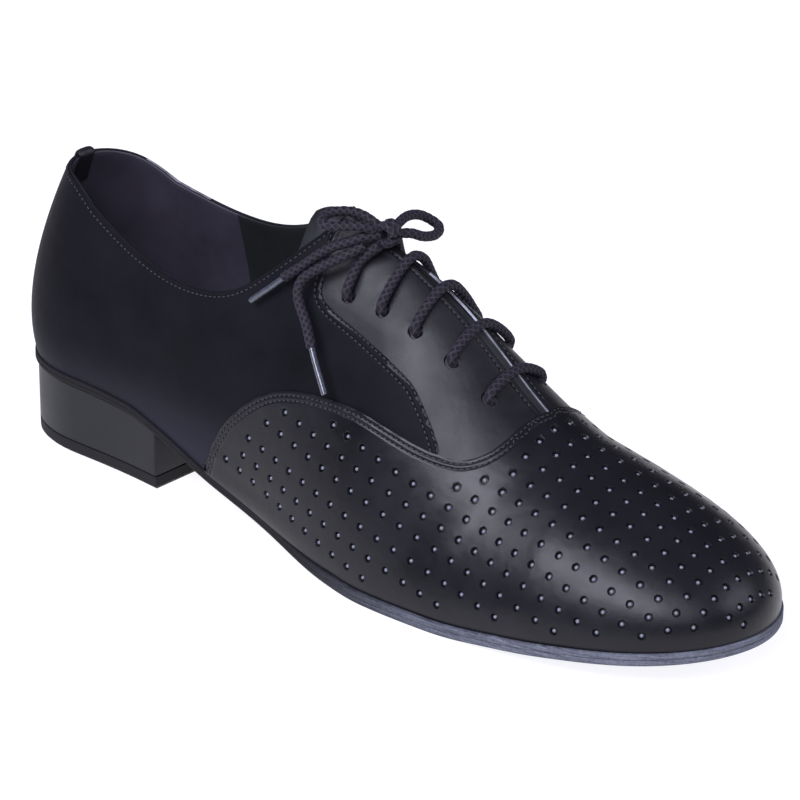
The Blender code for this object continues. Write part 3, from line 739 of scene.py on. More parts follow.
def creased(points, normals):
    """The points with the leather's soft troughs and ridges pressed in along their normals."""
    depth = np.zeros(len(points))
    for crease in CREASES:
        column = Column("mid", crease.u, crease.side)
        centre = column.line(crease.up)
        ahead = Column("mid", crease.u + 0.004, crease.side).line(crease.up) - centre
        ahead /= np.linalg.norm(ahead)
        rise = column.line(crease.up + 0.02) - centre
        rise -= ahead * (rise @ ahead)
        rise /= np.linalg.norm(rise)
        turn = radians(crease.turn)
        way, over = ahead * cos(turn) + rise * sin(turn), rise * cos(turn) - ahead * sin(turn)
        away = points - centre
        near = np.exp(-((away @ way) / crease.length) ** 2 - ((away @ over) / crease.width) ** 2)
        depth += crease.depth * near * (points[:, 1] * crease.side > -0.3 * crease.length)
    return points - normals * depth[:, None]


def surface_normals(lines):
    """Unit normals of a sheet's points, from its neighbours."""
    ahead = np.gradient(lines, axis=0)
    up = np.gradient(lines, axis=1)
    normal = np.cross(ahead, up)
    size = np.linalg.norm(normal, axis=-1, keepdims=True)
    return normal / np.maximum(size, 1e-12)


def pressed(lines):
    normals = surface_normals(lines)
    return creased(lines.reshape(-1, 3), normals.reshape(-1, 3)).reshape(lines.shape)


def tree_of(lines):
    """A sheet's faces, for finding the nearest point on it."""
    across, up = lines.shape[:2]
    corners = [Vector(p) for p in lines.reshape(-1, 3)]
    faces = [
        (i * up + j, (i + 1) * up + j, (i + 1) * up + j + 1, i * up + j + 1)
        for i in range(across - 1) for j in range(up - 1)
    ]
    return BVHTree.FromPolygons(corners, faces)


def evenly(points, pitch):
    """Points a pitch apart along a line."""
    points = np.array([tuple(p) for p in points], float)
    walk = walked(points)
    return places_at(np.linspace(0, walk[-1], max(1, round(walk[-1] / pitch)) + 1), walk, points)


def through(points):
    """Even points along a smooth curve through the route's own points."""
    route = np.array([tuple(point) for point in points], float)
    walk = walked(route)
    curves = [smooth_curve(walk, route[:, axis]) for axis in range(3)]
    count = max(2, round(walk[-1] / CURVE_STEP))
    return [Vector([curve(at) for curve in curves]) for at in spread(0.0, walk[-1], count)]


def in_mm(route):
    return [Vector(point) * MM for point in route]


def beside(points, tree, distance):
    """A line moved sideways over a surface, kept on it."""
    moved = []
    for i, point in enumerate(points):
        way = Vector(points[min(i + 1, len(points) - 1)]) - Vector(points[max(i - 1, 0)])
        near, normal, _, _ = tree.find_nearest(Vector(point))
        side = normal.cross(way).normalized()
        moved.append(tree.find_nearest(near + side * distance)[0])
    return moved


def frames_on(points, tree, lift=0.0):
    """A matrix at each middle of a line's steps: x along the line and z off the surface."""
    made = []
    for first, second in zip(points, points[1:]):
        first, second = Vector(first), Vector(second)
        near, normal, _, _ = tree.find_nearest((first + second) / 2)
        way = (second - first).normalized()
        side = normal.cross(way).normalized()
        up = way.cross(side)
        turn = Matrix((way, side, up)).transposed().to_4x4()
        turn.translation = near + up * lift
        made.append(turn)
    return made


def copies(name, seed, places):
    """One mesh with a copy of the seed at each place."""
    corners = np.empty(len(seed.data.vertices) * 3)
    seed.data.vertices.foreach_get("co", corners)
    corners = corners.reshape(-1, 3)
    faces = [tuple(face.vertices) for face in seed.data.polygons]
    points, around = [], []
    for k, place in enumerate(places):
        matrix = np.array(place)
        points.append(corners @ matrix[:3, :3].T + matrix[:3, 3])
        around += [tuple(v + k * len(corners) for v in face) for face in faces]
    data = bpy.data.meshes.new(name)
    data.from_pydata(np.concatenate(points).tolist(), [], around)
    data.shade_smooth()
    made = bpy.data.objects.new(name, data)
    bpy.context.scene.collection.objects.link(made)
    bpy.data.objects.remove(seed, do_unlink=True)
    return made


def bead(size, segments=8, rings=5):
    """A small ellipsoid of these full sizes, the start of a stitch or a dome."""
    bpy.ops.object.select_all(action="DESELECT")
    bpy.ops.mesh.primitive_uv_sphere_add(segments=segments, ring_count=rings, radius=0.5)
    made = bpy.context.object
    made.scale = size
    bpy.ops.object.transform_apply(location=False, rotation=False, scale=True)
    return made


def node(tree, kind, settings=None, **links):
    """Adds a shader node with its settings. Its inputs are set, or linked to a node or a socket."""
    made = tree.nodes.new("ShaderNode" + kind)
    for key, value in (settings or {}).items():
        setattr(made, key, value)
    for key, value in links.items():
        numbered = key[0] == "i" and key[1:].isdigit()
        socket = made.inputs[int(key[1:]) if numbered else key.replace("_", " ")]
        if isinstance(value, bpy.types.Node):
            value = value.outputs[2 if value.type == "MIX" else 0]
        if isinstance(value, bpy.types.NodeSocket):
            tree.links.new(value, socket)
        else:
            socket.default_value = value
    return made


# Settings that many shader nodes share
RGBA = {"data_type": "RGBA"}
SMOOTH = {"interpolation_type": "SMOOTHSTEP"}


def new_material(name):
    """A material with no nodes, its tree, and a place on the piece."""
    made = bpy.data.materials.new(name)
    made.use_nodes = True
    made.node_tree.nodes.clear()
    return made, made.node_tree, node(made.node_tree, "TexCoord").outputs["Object"]


def finish_with(tree, **surface):
    """Puts the surface's shader on the material's output."""
    node(tree, "OutputMaterial", Surface=node(tree, "BsdfPrincipled", **surface))


def leather(name, dark, light, rough, specular=0.5, grain=0.6, cell=0.55, patch=22.0, seams=(), low=None):
    """Chrome-tanned calf, smooth and dyed through: fine pores, soft cloudy gloss. cell and patch are mm; low is a
    paler colour mixed in towards the bottom, a painted reflection of the floor.
    """
    made, tree, place = new_material(name)
    cloud = node(tree, "TexNoise", Vector=place, Scale=1000 / patch, Detail=3.0, Roughness=0.6)
    tone = node(tree, "MapRange", Value=cloud, From_Min=0.3, From_Max=0.7)
    colour = node(tree, "Mix", RGBA, i0=tone, i6=tint(dark), i7=tint(light))
    # Lighter towards the bottom, from 44 mm down to 16 mm: a painted reflection of the pale floor.
    if low:
        height = node(tree, "SeparateXYZ", Vector=place).outputs[2]
        share = node(tree, "MapRange", SMOOTH, Value=height, From_Min=44 * MM, From_Max=16 * MM)
        colour = node(tree, "Mix", RGBA, i0=share, i6=colour, i7=tint(low))
    pores = node(tree, "TexVoronoi", {"feature": "DISTANCE_TO_EDGE"}, Vector=place, Scale=1000 / cell)
    pore = node(tree, "MapRange", Value=pores, From_Min=0.0, From_Max=0.25)
    hide = node(tree, "TexNoise", Vector=place, Scale=1000 / (cell * 4), Detail=6.0, Roughness=0.65)
    relief = node(tree, "Math", {"operation": "MULTIPLY_ADD"}, i0=hide, i1=1.6, i2=pore)
    bump = node(tree, "Bump", Height=relief, Strength=0.16 * grain, Distance=0.12 * MM)
    swell = node(tree, "TexNoise", Vector=place, Scale=1000 / 8.0, Detail=2.0, Roughness=0.5)
    surface = node(tree, "Bump", Height=swell, Strength=grain, Distance=0.3 * MM, Normal=bump)
    for attribute, rows in seams:
        surface = seam_bump(tree, attribute, rows, surface)
    gloss = node(
        tree, "MapRange", Value=cloud, From_Min=0.25, From_Max=0.75, To_Min=rough - 0.06, To_Max=rough + 0.09,
    )
    finish_with(tree, Base_Color=colour, Roughness=gloss, Normal=surface, Specular_IOR_Level=specular)
    return made


def seam_bump(tree, attribute, rows, surface):
    """Furrows that the sewing pulls into the leather, at these millimetres of an attribute."""
    distance = node(tree, "Attribute", {"attribute_name": attribute}).outputs["Fac"]
    for row in rows:
        off = node(tree, "Math", {"operation": "SUBTRACT"}, i0=distance, i1=row)
        wide = node(tree, "Math", {"operation": "ABSOLUTE"}, i0=off)
        dip = node(tree, "MapRange", SMOOTH, Value=wide, From_Min=0.0, From_Max=0.75)
        surface = node(tree, "Bump", Height=dip, Strength=0.55, Distance=0.25 * MM, Normal=surface)
    return surface


def fibrous(name, scale, detail, dark, light=None, strength=0.0, **surface):
    """A finish with one fine noise, which mixes its two colours, or roughens its only one."""
    made, tree, place = new_material(name)
    grain = node(tree, "TexNoise", Vector=place, Scale=scale, Detail=detail)
    surface["Base_Color"] = node(tree, "Mix", RGBA, i0=grain, i6=dark, i7=light) if light else dark
    if strength:
        surface["Normal"] = node(tree, "Bump", Height=grain, Strength=strength, Distance=0.1 * MM)
    finish_with(tree, **surface)
    return made


def thread_finish():
    """Waxed polyester thread, twisted: a soft sheen and fine ribs."""
    return fibrous("waxed_thread", 2500.0, 2.0, tint("thread"), strength=0.4, Roughness=0.55)


def needle_hole_painted_shade():
    """Painted shade for the inside of a needle hole: a near-black mark with no gloss at all."""
    return fibrous(
        "needle_hole", 900.0, 2.0, linear("#040406"), linear("#08080b"),
        Roughness=0.95, Specular_IOR_Level=0.1,
    )


def lace_finish():
    """Spun polyester braid: matt, with a soft sheen; its rib crests are paler, partly dust on raised fibres and partly
    a painted highlight; ribs 1.1 mm apart.
    """
    made, tree, place = new_material("braided_lace")
    fibre = node(tree, "TexNoise", Vector=place, Scale=1800.0, Detail=4.0)
    rib = node(tree, "Attribute", {"attribute_name": "rib"}).outputs["Fac"]
    # worn maps the rib crests to the paler colour: partly dust on raised fibres, partly a painted highlight.
    worn = node(tree, "MapRange", Value=rib, From_Min=0.35, From_Max=1.0)
    tone = node(tree, "Mix", RGBA, i0=worn, i6=tint("lace"), i7=tint("lace_dusty"))
    bump = node(tree, "Bump", Height=fibre, Strength=0.5, Distance=0.12 * MM)
    finish_with(
        tree, Base_Color=tone, Roughness=0.72, Normal=bump, Specular_IOR_Level=0.3,
        Sheen_Weight=0.12, Sheen_Roughness=0.45, Sheen_Tint=linear("#8f84a6"),
    )
    return made


def aglet_finish():
    """Clear acetate film shrunk on the braid: hard, glossy, bluish grey."""
    return fibrous(
        "aglet_film", 700.0, 2.0, linear("#22252d"), linear("#4c515d"), strength=0.25, Roughness=0.22,
        Coat_Weight=0.6, Coat_Roughness=0.1,
    )


def sole_finish():
    """Split chrome suede on a fibre board: its raw edge in thin layers, inked dark at the waist."""
    made, tree, place = new_material("raw_sole_edge")
    flat = node(tree, "Mapping", Vector=place, Scale=(60.0, 60.0, 2600.0))
    layers = node(tree, "TexNoise", Vector=flat, Scale=1.0, Detail=3.0, Roughness=0.7)
    nap = node(tree, "TexNoise", Vector=place, Scale=1100.0, Detail=4.0, Roughness=0.7)
    both = node(tree, "Math", {"operation": "MULTIPLY_ADD"}, i0=nap, i1=0.7, i2=layers)
    band = node(tree, "MapRange", Value=both, From_Min=0.55, From_Max=1.1)
    tone = node(tree, "Mix", RGBA, i0=band, i6=tint("sole_edge"), i7=tint("sole_edge_pale"))
    along = node(tree, "Attribute", {"attribute_name": "forepart"}).outputs["Fac"]
    share = node(tree, "MapRange", SMOOTH, Value=along)
    inked = node(tree, "Mix", RGBA, i0=share, i6=tint("ink"), i7=tone)
    bump = node(tree, "Bump", Height=both, Strength=0.7, Distance=0.3 * MM)
    finish_with(tree, Base_Color=inked, Roughness=0.85, Normal=bump, Specular_IOR_Level=0.3)
    return made


def block_finish():
    """Leather-covered heel block: satin, smoother than the upper."""
    return leather("heel_cover", "block", "calf_worn", 0.45, 0.3, grain=0.35, cell=0.4, patch=30.0)


def top_piece_finish():
    """Rubber-bound suede heel tip: dark sides, and a worn, fibrous line where it meets the floor."""
    made, tree, place = new_material("heel_tip")
    fibre = node(tree, "TexNoise", Vector=place, Scale=700.0, Detail=5.0, Roughness=0.75)
    height = node(tree, "SeparateXYZ", Vector=place).outputs[2]
    ragged = node(tree, "Math", {"operation": "MULTIPLY_ADD"}, i0=fibre, i1=-1.6 * MM, i2=height)
    worn = node(tree, "MapRange", Value=ragged, From_Min=-0.1 * MM, From_Max=-0.5 * MM)
    tone = node(tree, "Mix", RGBA, i0=worn, i6=tint("ink"), i7=tint("suede"))
    bump = node(tree, "Bump", Height=fibre, Strength=0.5, Distance=0.2 * MM)
    finish_with(tree, Base_Color=tone, Roughness=0.75, Normal=bump, Specular_IOR_Level=0.3)
    return made


def length(name, size, description):
    return FloatProperty(name=name, description=description, default=size, subtype="DISTANCE", precision=5)


class ShoeSizes(PropertyGroup):
    """Sizes of the shoe's details."""

    perforation: length("Perforation", 2.6 * MM, "Diameter of a hole in the vamp")
    hole_pitch: length("Hole pitch", 6.8 * MM, "Distance between holes")
    stitch_pitch: length("Stitch pitch", 1.9 * MM, "Length of one stitch with its gap")
    thread: length("Thread", 0.48 * MM, "Thickness of the thread")
    vamp_leather: length("Vamp leather", 0.85 * MM, "Thickness of the vamp's leather")
    mesh_pitch: length("Mesh pitch", 1.15 * MM, "Spacing of the panels' points")


def colour(name, code, description):
    return FloatVectorProperty(
        name=name, description=description, size=4, subtype="COLOR", default=linear(code),
    )


class ShoeColours(PropertyGroup):
    """Colours of the shoe's materials."""

    calf: colour("Calf", "#0b0b10", "The upper's leather")
    calf_worn: colour("Calf, worn", "#131319", "The upper's leather where it is handled")
    # The quarters' paler colour near the sole: a painted reflection of the floor.
    calf_low: colour("Calf near the sole", "#25262f", "The quarters' leather where it is scuffed, low down")
    cut_edge: colour("Cut edge", "#0e0e13", "The inked edge of the leather")
    # A painted highlight where the cut edges catch the light.
    pale_edge: colour("Pale edge", "#9a9ca8", "The edge where its ink has worn off")
    heel_lining: colour("Heel lining", "#2b2832", "The lining round the heel")
    heel_lining_worn: colour("Heel lining, worn", "#37333f", "The heel's lining where it is rubbed")
    fore_lining: colour("Fore lining", "#15191a", "The lining ahead of the heel")
    tongue: colour("Tongue", "#131518", "The tongue's leather")
    tongue_worn: colour("Tongue, worn", "#1d2024", "The tongue's leather where it is handled")
    thread: colour("Thread", "#26242c", "The sewing thread")
    lace: colour("Lace", "#09080c", "The braid")
    # Partly dust on raised fibres, partly a painted highlight on the rib crests.
    lace_dusty: colour("Lace, dusty", "#2f2a38", "The braid's raised fibres")
    # Paler than the vamp's lining: partly the lining seen in the holes, partly a painted glint.
    dome: colour("Hole lining", "#747884", "The lining seen in the vamp's holes")
    ink: colour("Ink", "#101014", "The sole's edge at the waist and the heel tip")
    sole_edge: colour("Sole edge", "#2b2d36", "The raw edge's dark layers")
    sole_edge_pale: colour("Sole edge, pale", "#747885", "The raw edge's pale fibres")
    block: colour("Heel block", "#10111a", "The heel's cover")
    suede: colour("Suede", "#57534f", "The worn nap")


def sizes():
    return bpy.context.scene.shoe_sizes


def tint(name):
    return tuple(getattr(bpy.context.scene.shoe_colours, name))


def edge_points(side, offset=VAMP_STEP):
    """The vamp's rear edge, from the feather to the throat."""
    ring = mid_columns(side, VAMP_EDGE[0].u, THROAT, EDGE_STEP)
    return [column.point(column.vamp_top(), offset) for column in ring]


def nearest_of(lines):
    """A tree of points, for distances to a line."""
    points = [p for line in lines for p in evenly(line, LINE_STEP)]
    tree = KDTree(len(points))
    for k, point in enumerate(points):
        tree.insert(point, k)
    tree.balance()
    return tree


def beside_mm(points, line, side):
    """How far points lie to one side of a line on the leather, in millimetres, or FAR."""
    stops = evenly(line, LINE_STEP)
    across = np.cross(np.gradient(stops, axis=0), (0.0, side, 0.6)) * -side
    tree = nearest_of([line])
    found = []
    for point in points:
        _, k, distance = tree.find(point)
        k = min(k, len(stops) - 1)
        turn = np.sign(across[k] @ (np.array(point) - stops[k]))
        reach = 40 * MM if turn < 0 else 9 * MM
        found.append(turn * distance / MM if distance < reach and point[1] * side > -5 * MM else FAR)
    return np.array(found)


def set_attribute(item, name, values):
    made = item.data.attributes.new(name, "FLOAT", "POINT")
    made.data.foreach_set("value", np.asarray(values, np.float32))


@lru_cache
def vamp_sheet():
    """The vamp's outer face: its points, and the distance of each to the rear edge, which is rounded off."""
    edge = nearest_of([edge_points(side, 0.0) for side in SIDES])
    lines, far = [], []
    for column in forepart_columns(VAMP_EDGE[0].u, sizes().mesh_pitch, TOE_COLUMNS):
        ts = np.array(spread(0.0, column.vamp_top(), VAMP_ROWS))
        distance = np.array([edge.find(p)[2] for p in column.line(ts)])
        near = np.clip(1 - distance / VAMP_FOLD, 0, 1)
        lines.append(column.line(ts, VAMP_STEP - 0.8 * VAMP_FOLD * (1 - np.sqrt(1 - near**2))))
        far.append(distance)
    return pressed(np.array(lines)), np.array(far)


@lru_cache
def last_tree():
    """The whole forepart of the last at the vamp's height, for laying out its holes."""
    ring = forepart_columns(VAMP_EDGE[0].u, 1.2 * MM, TOE_COLUMNS)
    return tree_of(np.array([column.line(spread(0.0, 1.0, 80), VAMP_STEP) for column in ring]))


def girth_points(x, side):
    """Points over the forepart at x, from its crest down one side."""
    centre = Vector((x, float(centre_at(TOE_CENTRE)), 14 * MM))
    points = []
    for turn in np.arange(90, -12, -0.5):
        way = Vector((0, side * cos(radians(turn)), sin(radians(turn))))
        near, _, _, _ = last_tree().ray_cast(centre, way)
        if near is not None:
            points.append(tuple(near))
    return np.array(points)


def row_of_holes(start, way):
    """Points a pitch apart along the straightest line on the leather, with its direction at each."""
    pitch = sizes().hole_pitch
    stops, gone, due = [], 0.0, pitch
    point, way = Vector(start), Vector(way)
    for _ in range(round(ROW_REACH / WALK_STEP)):
        _, normal, _, _ = last_tree().find_nearest(point)
        way = (way - normal * way.dot(normal)).normalized()
        point, _, _, gap = last_tree().find_nearest(point + way * WALK_STEP)
        gone += WALK_STEP
        if gap > 2 * WALK_STEP:
            break
        if gone >= due:
            due += pitch
            stops.append((point.copy(), way.copy()))
    return stops


def below(row, side):
    """The start of the row under this one: a pitch down the leather from its point at the ball."""
    point, way = min(row, key=lambda stop: abs(stop[0].x - HOLE_BALL))
    _, normal, _, _ = last_tree().find_nearest(point)
    down = way.cross(normal)
    down = down if down.z < 0 else -down
    return row_of_holes(point, down)[:1], way


def whole_row(start, way):
    return [(start, way)] + row_of_holes(start, way) + row_of_holes(start, -way)


def rows_of_holes(side):
    """Straight rows along the foot, square to a line across the ball, and on down to the sole."""
    girth = girth_points(HOLE_START, side)
    walk = walked(girth)
    first = HOLE_CREST if side == LATERAL else sizes().hole_pitch - HOLE_CREST
    for distance in np.arange(first, walk[-1], sizes().hole_pitch):
        row = whole_row(Vector(places_at(distance, walk, girth)), Vector((1, 0, HOLE_SLOPE)))
        yield row
    for _ in range(ROWS_BELOW):
        stops, way = below(row, side)
        if not stops:
            return
        row = whole_row(stops[0][0], way)
        yield row


def hole_places(vamp):
    """Where the vamp's holes are, with the leather's direction outwards."""
    edge = nearest_of([edge_points(side) for side in SIDES])
    feather = nearest_of([[Vector(line[0]) for line in vamp_sheet()[0]]])
    places = []
    for point, _ in (stop for side in SIDES for row in rows_of_holes(side) for stop in row):
        near, normal, _, gap = vamp.find_nearest(point)
        if gap > 0.8 * MM or edge.find(near)[2] < SEAM_MARGIN or feather.find(near)[2] < SOLE_MARGIN:
            continue
        if any((near - other).length < 0.7 * sizes().hole_pitch for other, _ in places):
            continue
        outward = Vector((0.4 * (near.x > 0.2), near.y, near.z - 0.015))
        places.append((near, normal if normal.dot(outward) > 0 else -normal))
    return places


def turned_to(point, normal):
    made = Vector((0, 0, 1)).rotation_difference(normal).to_matrix().to_4x4()
    made.translation = point
    return made


def cut(item, cutters):
    """Cuts the cutters' holes through the piece."""
    modifier = item.modifiers.new("holes", "BOOLEAN")
    modifier.operation = "DIFFERENCE"
    modifier.solver = "MANIFOLD"
    modifier.object = cutters
    before = len(item.data.polygons)
    apply_modifiers(item)
    if len(item.data.polygons) == before:
        raise ValueError(f"{item.name}: nothing was cut")
    bpy.data.objects.remove(cutters, do_unlink=True)


def drill(name, low, high, depth, places, segments=16):
    """Round bars at the places, to cut with, from their low radius to their high one."""
    bpy.ops.object.select_all(action="DESELECT")
    bpy.ops.mesh.primitive_cone_add(vertices=segments, radius1=low, radius2=high, depth=depth)
    return copies(name, bpy.context.object, places)


class SHOE_OT_vamp(Operator):
    """Makes the vamp with its winged rear edge and its rows of holes, and the lining behind it"""

    bl_idname = "shoe.vamp"
    bl_label = "Vamp"

    def execute(self, context):
        lines, far = vamp_sheet()
        vamp, i, j = sheet("vamp", lines)
        set_attribute(vamp, "edge_mm", far[i, j] / MM)
        merge(vamp)
        thicken(vamp, sizes().vamp_leather)
        give(vamp, leather(
            "vamp_calf", "calf", "calf_worn", 0.31, 0.29, grain=0.7, seams=(("edge_mm", VAMP_SEAMS),),
        ))
        places = hole_places(tree_of(lines))
        bars = [turned_to(point - normal * 0.4 * MM, normal) for point, normal in places]
        radius = sizes().perforation / 2
        cut(vamp, drill("vamp_drill", DRILL_LOW * radius, DRILL_HIGH * radius, DRILL, bars))
        settle(vamp, "upper_leather", "upper", angle=38)

        # Pale glossy domes for the lining in each hole, with a painted glint in their colour.
        domes = copies("vamp_hole_domes", bead(DOME, 12, 8), [
            turned_to(point - normal * DOME_DEPTH, normal) for point, normal in places
        ])
        finish = leather("hole_lining", "dome", "dome", 0.35, grain=0.3, cell=0.3)
        settle(domes, "upper_leather", finish=finish)

        ring = forepart_columns(LINING_START, 2.5 * MM, 30)
        lines = np.array([column.line(spread(0.0, 1.0, 30), -LINING_CLEAR) for column in ring])
        lining, _, _ = sheet("vamp_lining", pressed(lines))
        merge(lining)
        thicken(lining, WALL - 0.1 * MM)
        finish = leather("vamp_lining_leather", "fore_lining", "calf", 0.6)
        settle(lining, "upper_leather", finish=finish, angle=40)
        return {"FINISHED"}


def quarter_columns():
    """The quarters' columns, from the inner throat round the back to the outer throat."""
    front, pitch = THROAT + 0.02, sizes().mesh_pitch
    lateral, medial = (
        back_columns(side, BACK_COLUMNS) + mid_columns(side, HEEL_CENTRE, front, pitch) for side in SIDES
    )
    return medial[:0:-1] + lateral


def quarter_line(column):
    """Points round the quarter's wall: up its outside, over the rounded edge and down its inside."""
    half = WALL / 2
    _, speed = column.along(column.top)
    top = column.top - half * 0.7 / float(speed)
    ups = np.array(spread(0.0, 1.0, OUTER_ROWS))
    outside = column.line(top * (1 - (1 - ups) ** 1.15))
    turns = np.array(spread(0.0, pi, RIM_ROWS + 1))[1:-1]
    rim = column.line(np.full(RIM_ROWS, top), -half + half * np.cos(turns), half * 0.7 * np.sin(turns))
    inside = column.line(np.array(spread(top, 0.0, INNER_ROWS)), -WALL)
    return np.concatenate([outside, rim, inside, outside[:1]])


def collar_distance(column):
    """How far the outside's points lie below the edge, in millimetres, and FAR elsewhere."""
    walk = walked(quarter_line(column)[:OUTER_ROWS + 1])
    return np.concatenate([(walk[-1] - walk) / MM, np.full(RIM_ROWS + INNER_ROWS + 2, FAR)])


def eyelet_up(column):
    """How far up a column its eyelet would stand."""
    u = max(column.u, EYELET_FIRST)
    inset = column.crest + facing_gap_at(u) / 2 + eyelet_inset_at(u)
    return column.first(lambda q: q[0] <= inset)


def eyelets(side):
    """Each eyelet's column and how far up it stands, the first at the top."""
    for index in range(EYELET_PAIRS):
        column = Column("mid", EYELET_FIRST + index * EYELET_PITCH / LAST_LENGTH, side)
        yield column, eyelet_up(column)


@lru_cache
def facing_points(side):
    """The line between a facing's two rows, from the topline to the vamp, as far below its own eyelets."""
    us = listed(FACING_ROW, "u")
    ups = []
    for row in FACING_ROW:
        outer, own = (eyelet_up(Column("mid", row.u, way)) for way in (LATERAL, side))
        ups.append(row.up - outer + own)
    ups[0] = Column("mid", us[0], side).top - 0.004
    u_curve, up_curve = smooth_curve(range(len(us)), us), steady_curve(range(len(us)), ups)
    return [
        Column("mid", float(u_curve(k)), side).point(float(up_curve(k))) for k in spread(0.0, len(us) - 1, 90)
    ]


@lru_cache
def quarter_sheet():
    """Both quarters as one wall: its columns, and their points round it."""
    ring = quarter_columns()
    lines = np.array([quarter_line(column) for column in ring])
    lines[:, :OUTER_ROWS + 1] = pressed(lines[:, :OUTER_ROWS + 1])
    lines[:, -1] = lines[:, 0]
    return ring, lines


def quarter_panels(ring, inside_facing):
    """The finish of each face: quarter, facing, cut edge, cut edge with a painted highlight, heel lining or fore
    lining.
    """
    across, rows = inside_facing.shape
    panels = np.zeros((across - 1, rows - 1), int)
    panels[inside_facing[:-1, :-1]] = 1
    rim = slice(OUTER_ROWS + 2, OUTER_ROWS + RIM_ROWS - 2)
    inside = slice(OUTER_ROWS + RIM_ROWS - 1, OUTER_ROWS + RIM_ROWS + INNER_ROWS)
    for i, column in enumerate(ring[:-1]):
        # worn picks the rims with a painted highlight: the facings' front edges and the inner topline near the back.
        worn = column.u > 0.55 or (column.side == MEDIAL and 0.055 < column.u < 0.16)
        panels[i, rim] = 3 if worn else 2
        panels[i, inside] = 4 if column.u < LINING_SEAM else 5
    return panels


class SHOE_OT_quarters(Operator):
    """Makes the quarters with facings, eyelet holes, rounded topline and lining side"""

    bl_idname = "shoe.quarters"
    bl_label = "Quarters"

    def execute(self, context):
        ring, lines = quarter_sheet()
        away = np.full(lines.shape[:2], FAR)
        outer = lines[:, :OUTER_ROWS + 1].reshape(-1, 3)
        away[:, :OUTER_ROWS + 1] = np.minimum.reduce(
            [beside_mm(outer, facing_points(side), side) for side in SIDES]
        ).reshape(len(ring), -1)
        quarters, i, j = sheet("quarters", lines, quarter_panels(ring, away < 0))
        below = np.array([collar_distance(column) for column in ring])
        set_attribute(quarters, "collar_mm", below[i, j])
        set_attribute(quarters, "facing_mm", away[i, j])
        merge(quarters)
        close(quarters)
        seams = (("collar_mm", (TOPLINE_SEAM,)), ("facing_mm", FACING_SEAMS))
        give(
            quarters,
            # Its low colour is a painted floor reflection on the quarter near the sole.
            leather("quarter_calf", "calf", "calf_worn", 0.54, 0.07, grain=0.8, seams=seams, low="calf_low"),
            leather("facing_calf", "calf", "calf_worn", 0.40, 0.31, grain=0.8, patch=14.0, seams=seams),
            leather("cut_leather_edge", "cut_edge", "calf_worn", 0.5, cell=0.3, patch=6.0),
            # A painted highlight on the cut edge of the facings and the inner topline.
            leather("pale_cut_edge", "pale_edge", "cut_edge", 0.45, cell=0.3, patch=9.0),
            leather("heel_lining_leather", "heel_lining", "heel_lining_worn", 0.6, cell=0.7),
            leather("fore_lining_leather", "fore_lining", "fore_lining", 0.6, cell=0.7),
        )
        bars = []
        for side in SIDES:
            for column, up in eyelets(side):
                middle = column.point(up, -WALL / 2)
                bars.append(turned_to(middle, (column.point(up, WALL) - middle).normalized()))
        cut(quarters, drill("eyelet_drill", EYELET_HOLE / 2, EYELET_HOLE / 2, 4 * WALL, bars, 24))
        settle(quarters, "upper_leather", angle=40)
        return {"FINISHED"}


class SHOE_OT_back_stay(Operator):
    """Makes the narrow strip down the back seam, turned over the topline as a small tab"""

    bl_idname = "shoe.back_stay"
    bl_label = "Back stay"

    def execute(self, context):
        lateral, medial = (back_columns(side, BACK_COLUMNS)[:STAY_COLUMNS + 1] for side in SIDES)
        half = WALL / 2
        turns = np.array(spread(0.0, pi, 8))[1:-1]
        lines = []
        for k, column in enumerate(medial[:0:-1] + lateral):
            lift = STAY_LIFT * (1 - (abs(k - STAY_COLUMNS) / STAY_COLUMNS)**6)
            outside = column.line(spread(STAY_LOW, column.top, 40), lift)
            reach = half + lift
            over = column.line(np.full(7, column.top), -half + reach * np.cos(turns), reach * np.sin(turns))
            inside = column.line(spread(column.top, column.top - STAY_TURNED, 8), -WALL - lift)
            lines.append(np.concatenate([outside, over, inside]))
        stay, _, _ = sheet("back_stay", np.array(lines))
        thicken(stay, STAY_LEATHER)
        settle(stay, "upper_leather", finish=leather("stay_calf", "calf_worn", "calf_worn", 0.42), angle=50)
        return {"FINISHED"}


def sewn_rows():
    """Every row of stitches, as a line on the leather with the surface that it lies on."""
    ring, lines = quarter_sheet()
    outer = lines[:, :OUTER_ROWS + 1]
    vamp, quarters = tree_of(vamp_sheet()[0]), tree_of(outer)
    for side in SIDES:
        for row in VAMP_SEAMS:
            yield beside(evenly(edge_points(side), SEAM_STEP), vamp, side * row * MM), vamp
        for row in FACING_SEAMS:
            yield beside(evenly(facing_points(side), SEAM_STEP), quarters, row * MM), quarters
    edge = [line[-1] for column, line in zip(ring, outer) if column.u < THROAT - 0.012]
    yield beside(evenly(edge, SEAM_STEP), quarters, -TOPLINE_SEAM * MM), quarters


class SHOE_OT_stitching(Operator):
    """Sews the rows beside the vamp's edge, the facings' double rows and the topline"""

    bl_idname = "shoe.stitching"
    bl_label = "Stitching"

    def execute(self, context):
        pitch, thread = sizes().stitch_pitch, sizes().thread
        stitches, pricks = [], []
        for line, tree in sewn_rows():
            stops = evenly(line, pitch)
            stitches += frames_on(stops, tree, 0.02 * MM)
            pricks += frames_on((stops[1:] + stops[:-1]) / 2, tree, -0.02 * MM)
        sewn = copies("stitching", bead(STITCH * Vector((pitch, thread, thread))), stitches)
        settle(sewn, "upper_leather", finish=thread_finish())
        # Dark beads between the stitches: painted shade where the needle holes are.
        holes = copies("needle_holes", bead(PRICK), pricks)
        settle(holes, "upper_leather", finish=needle_hole_painted_shade())
        return {"FINISHED"}


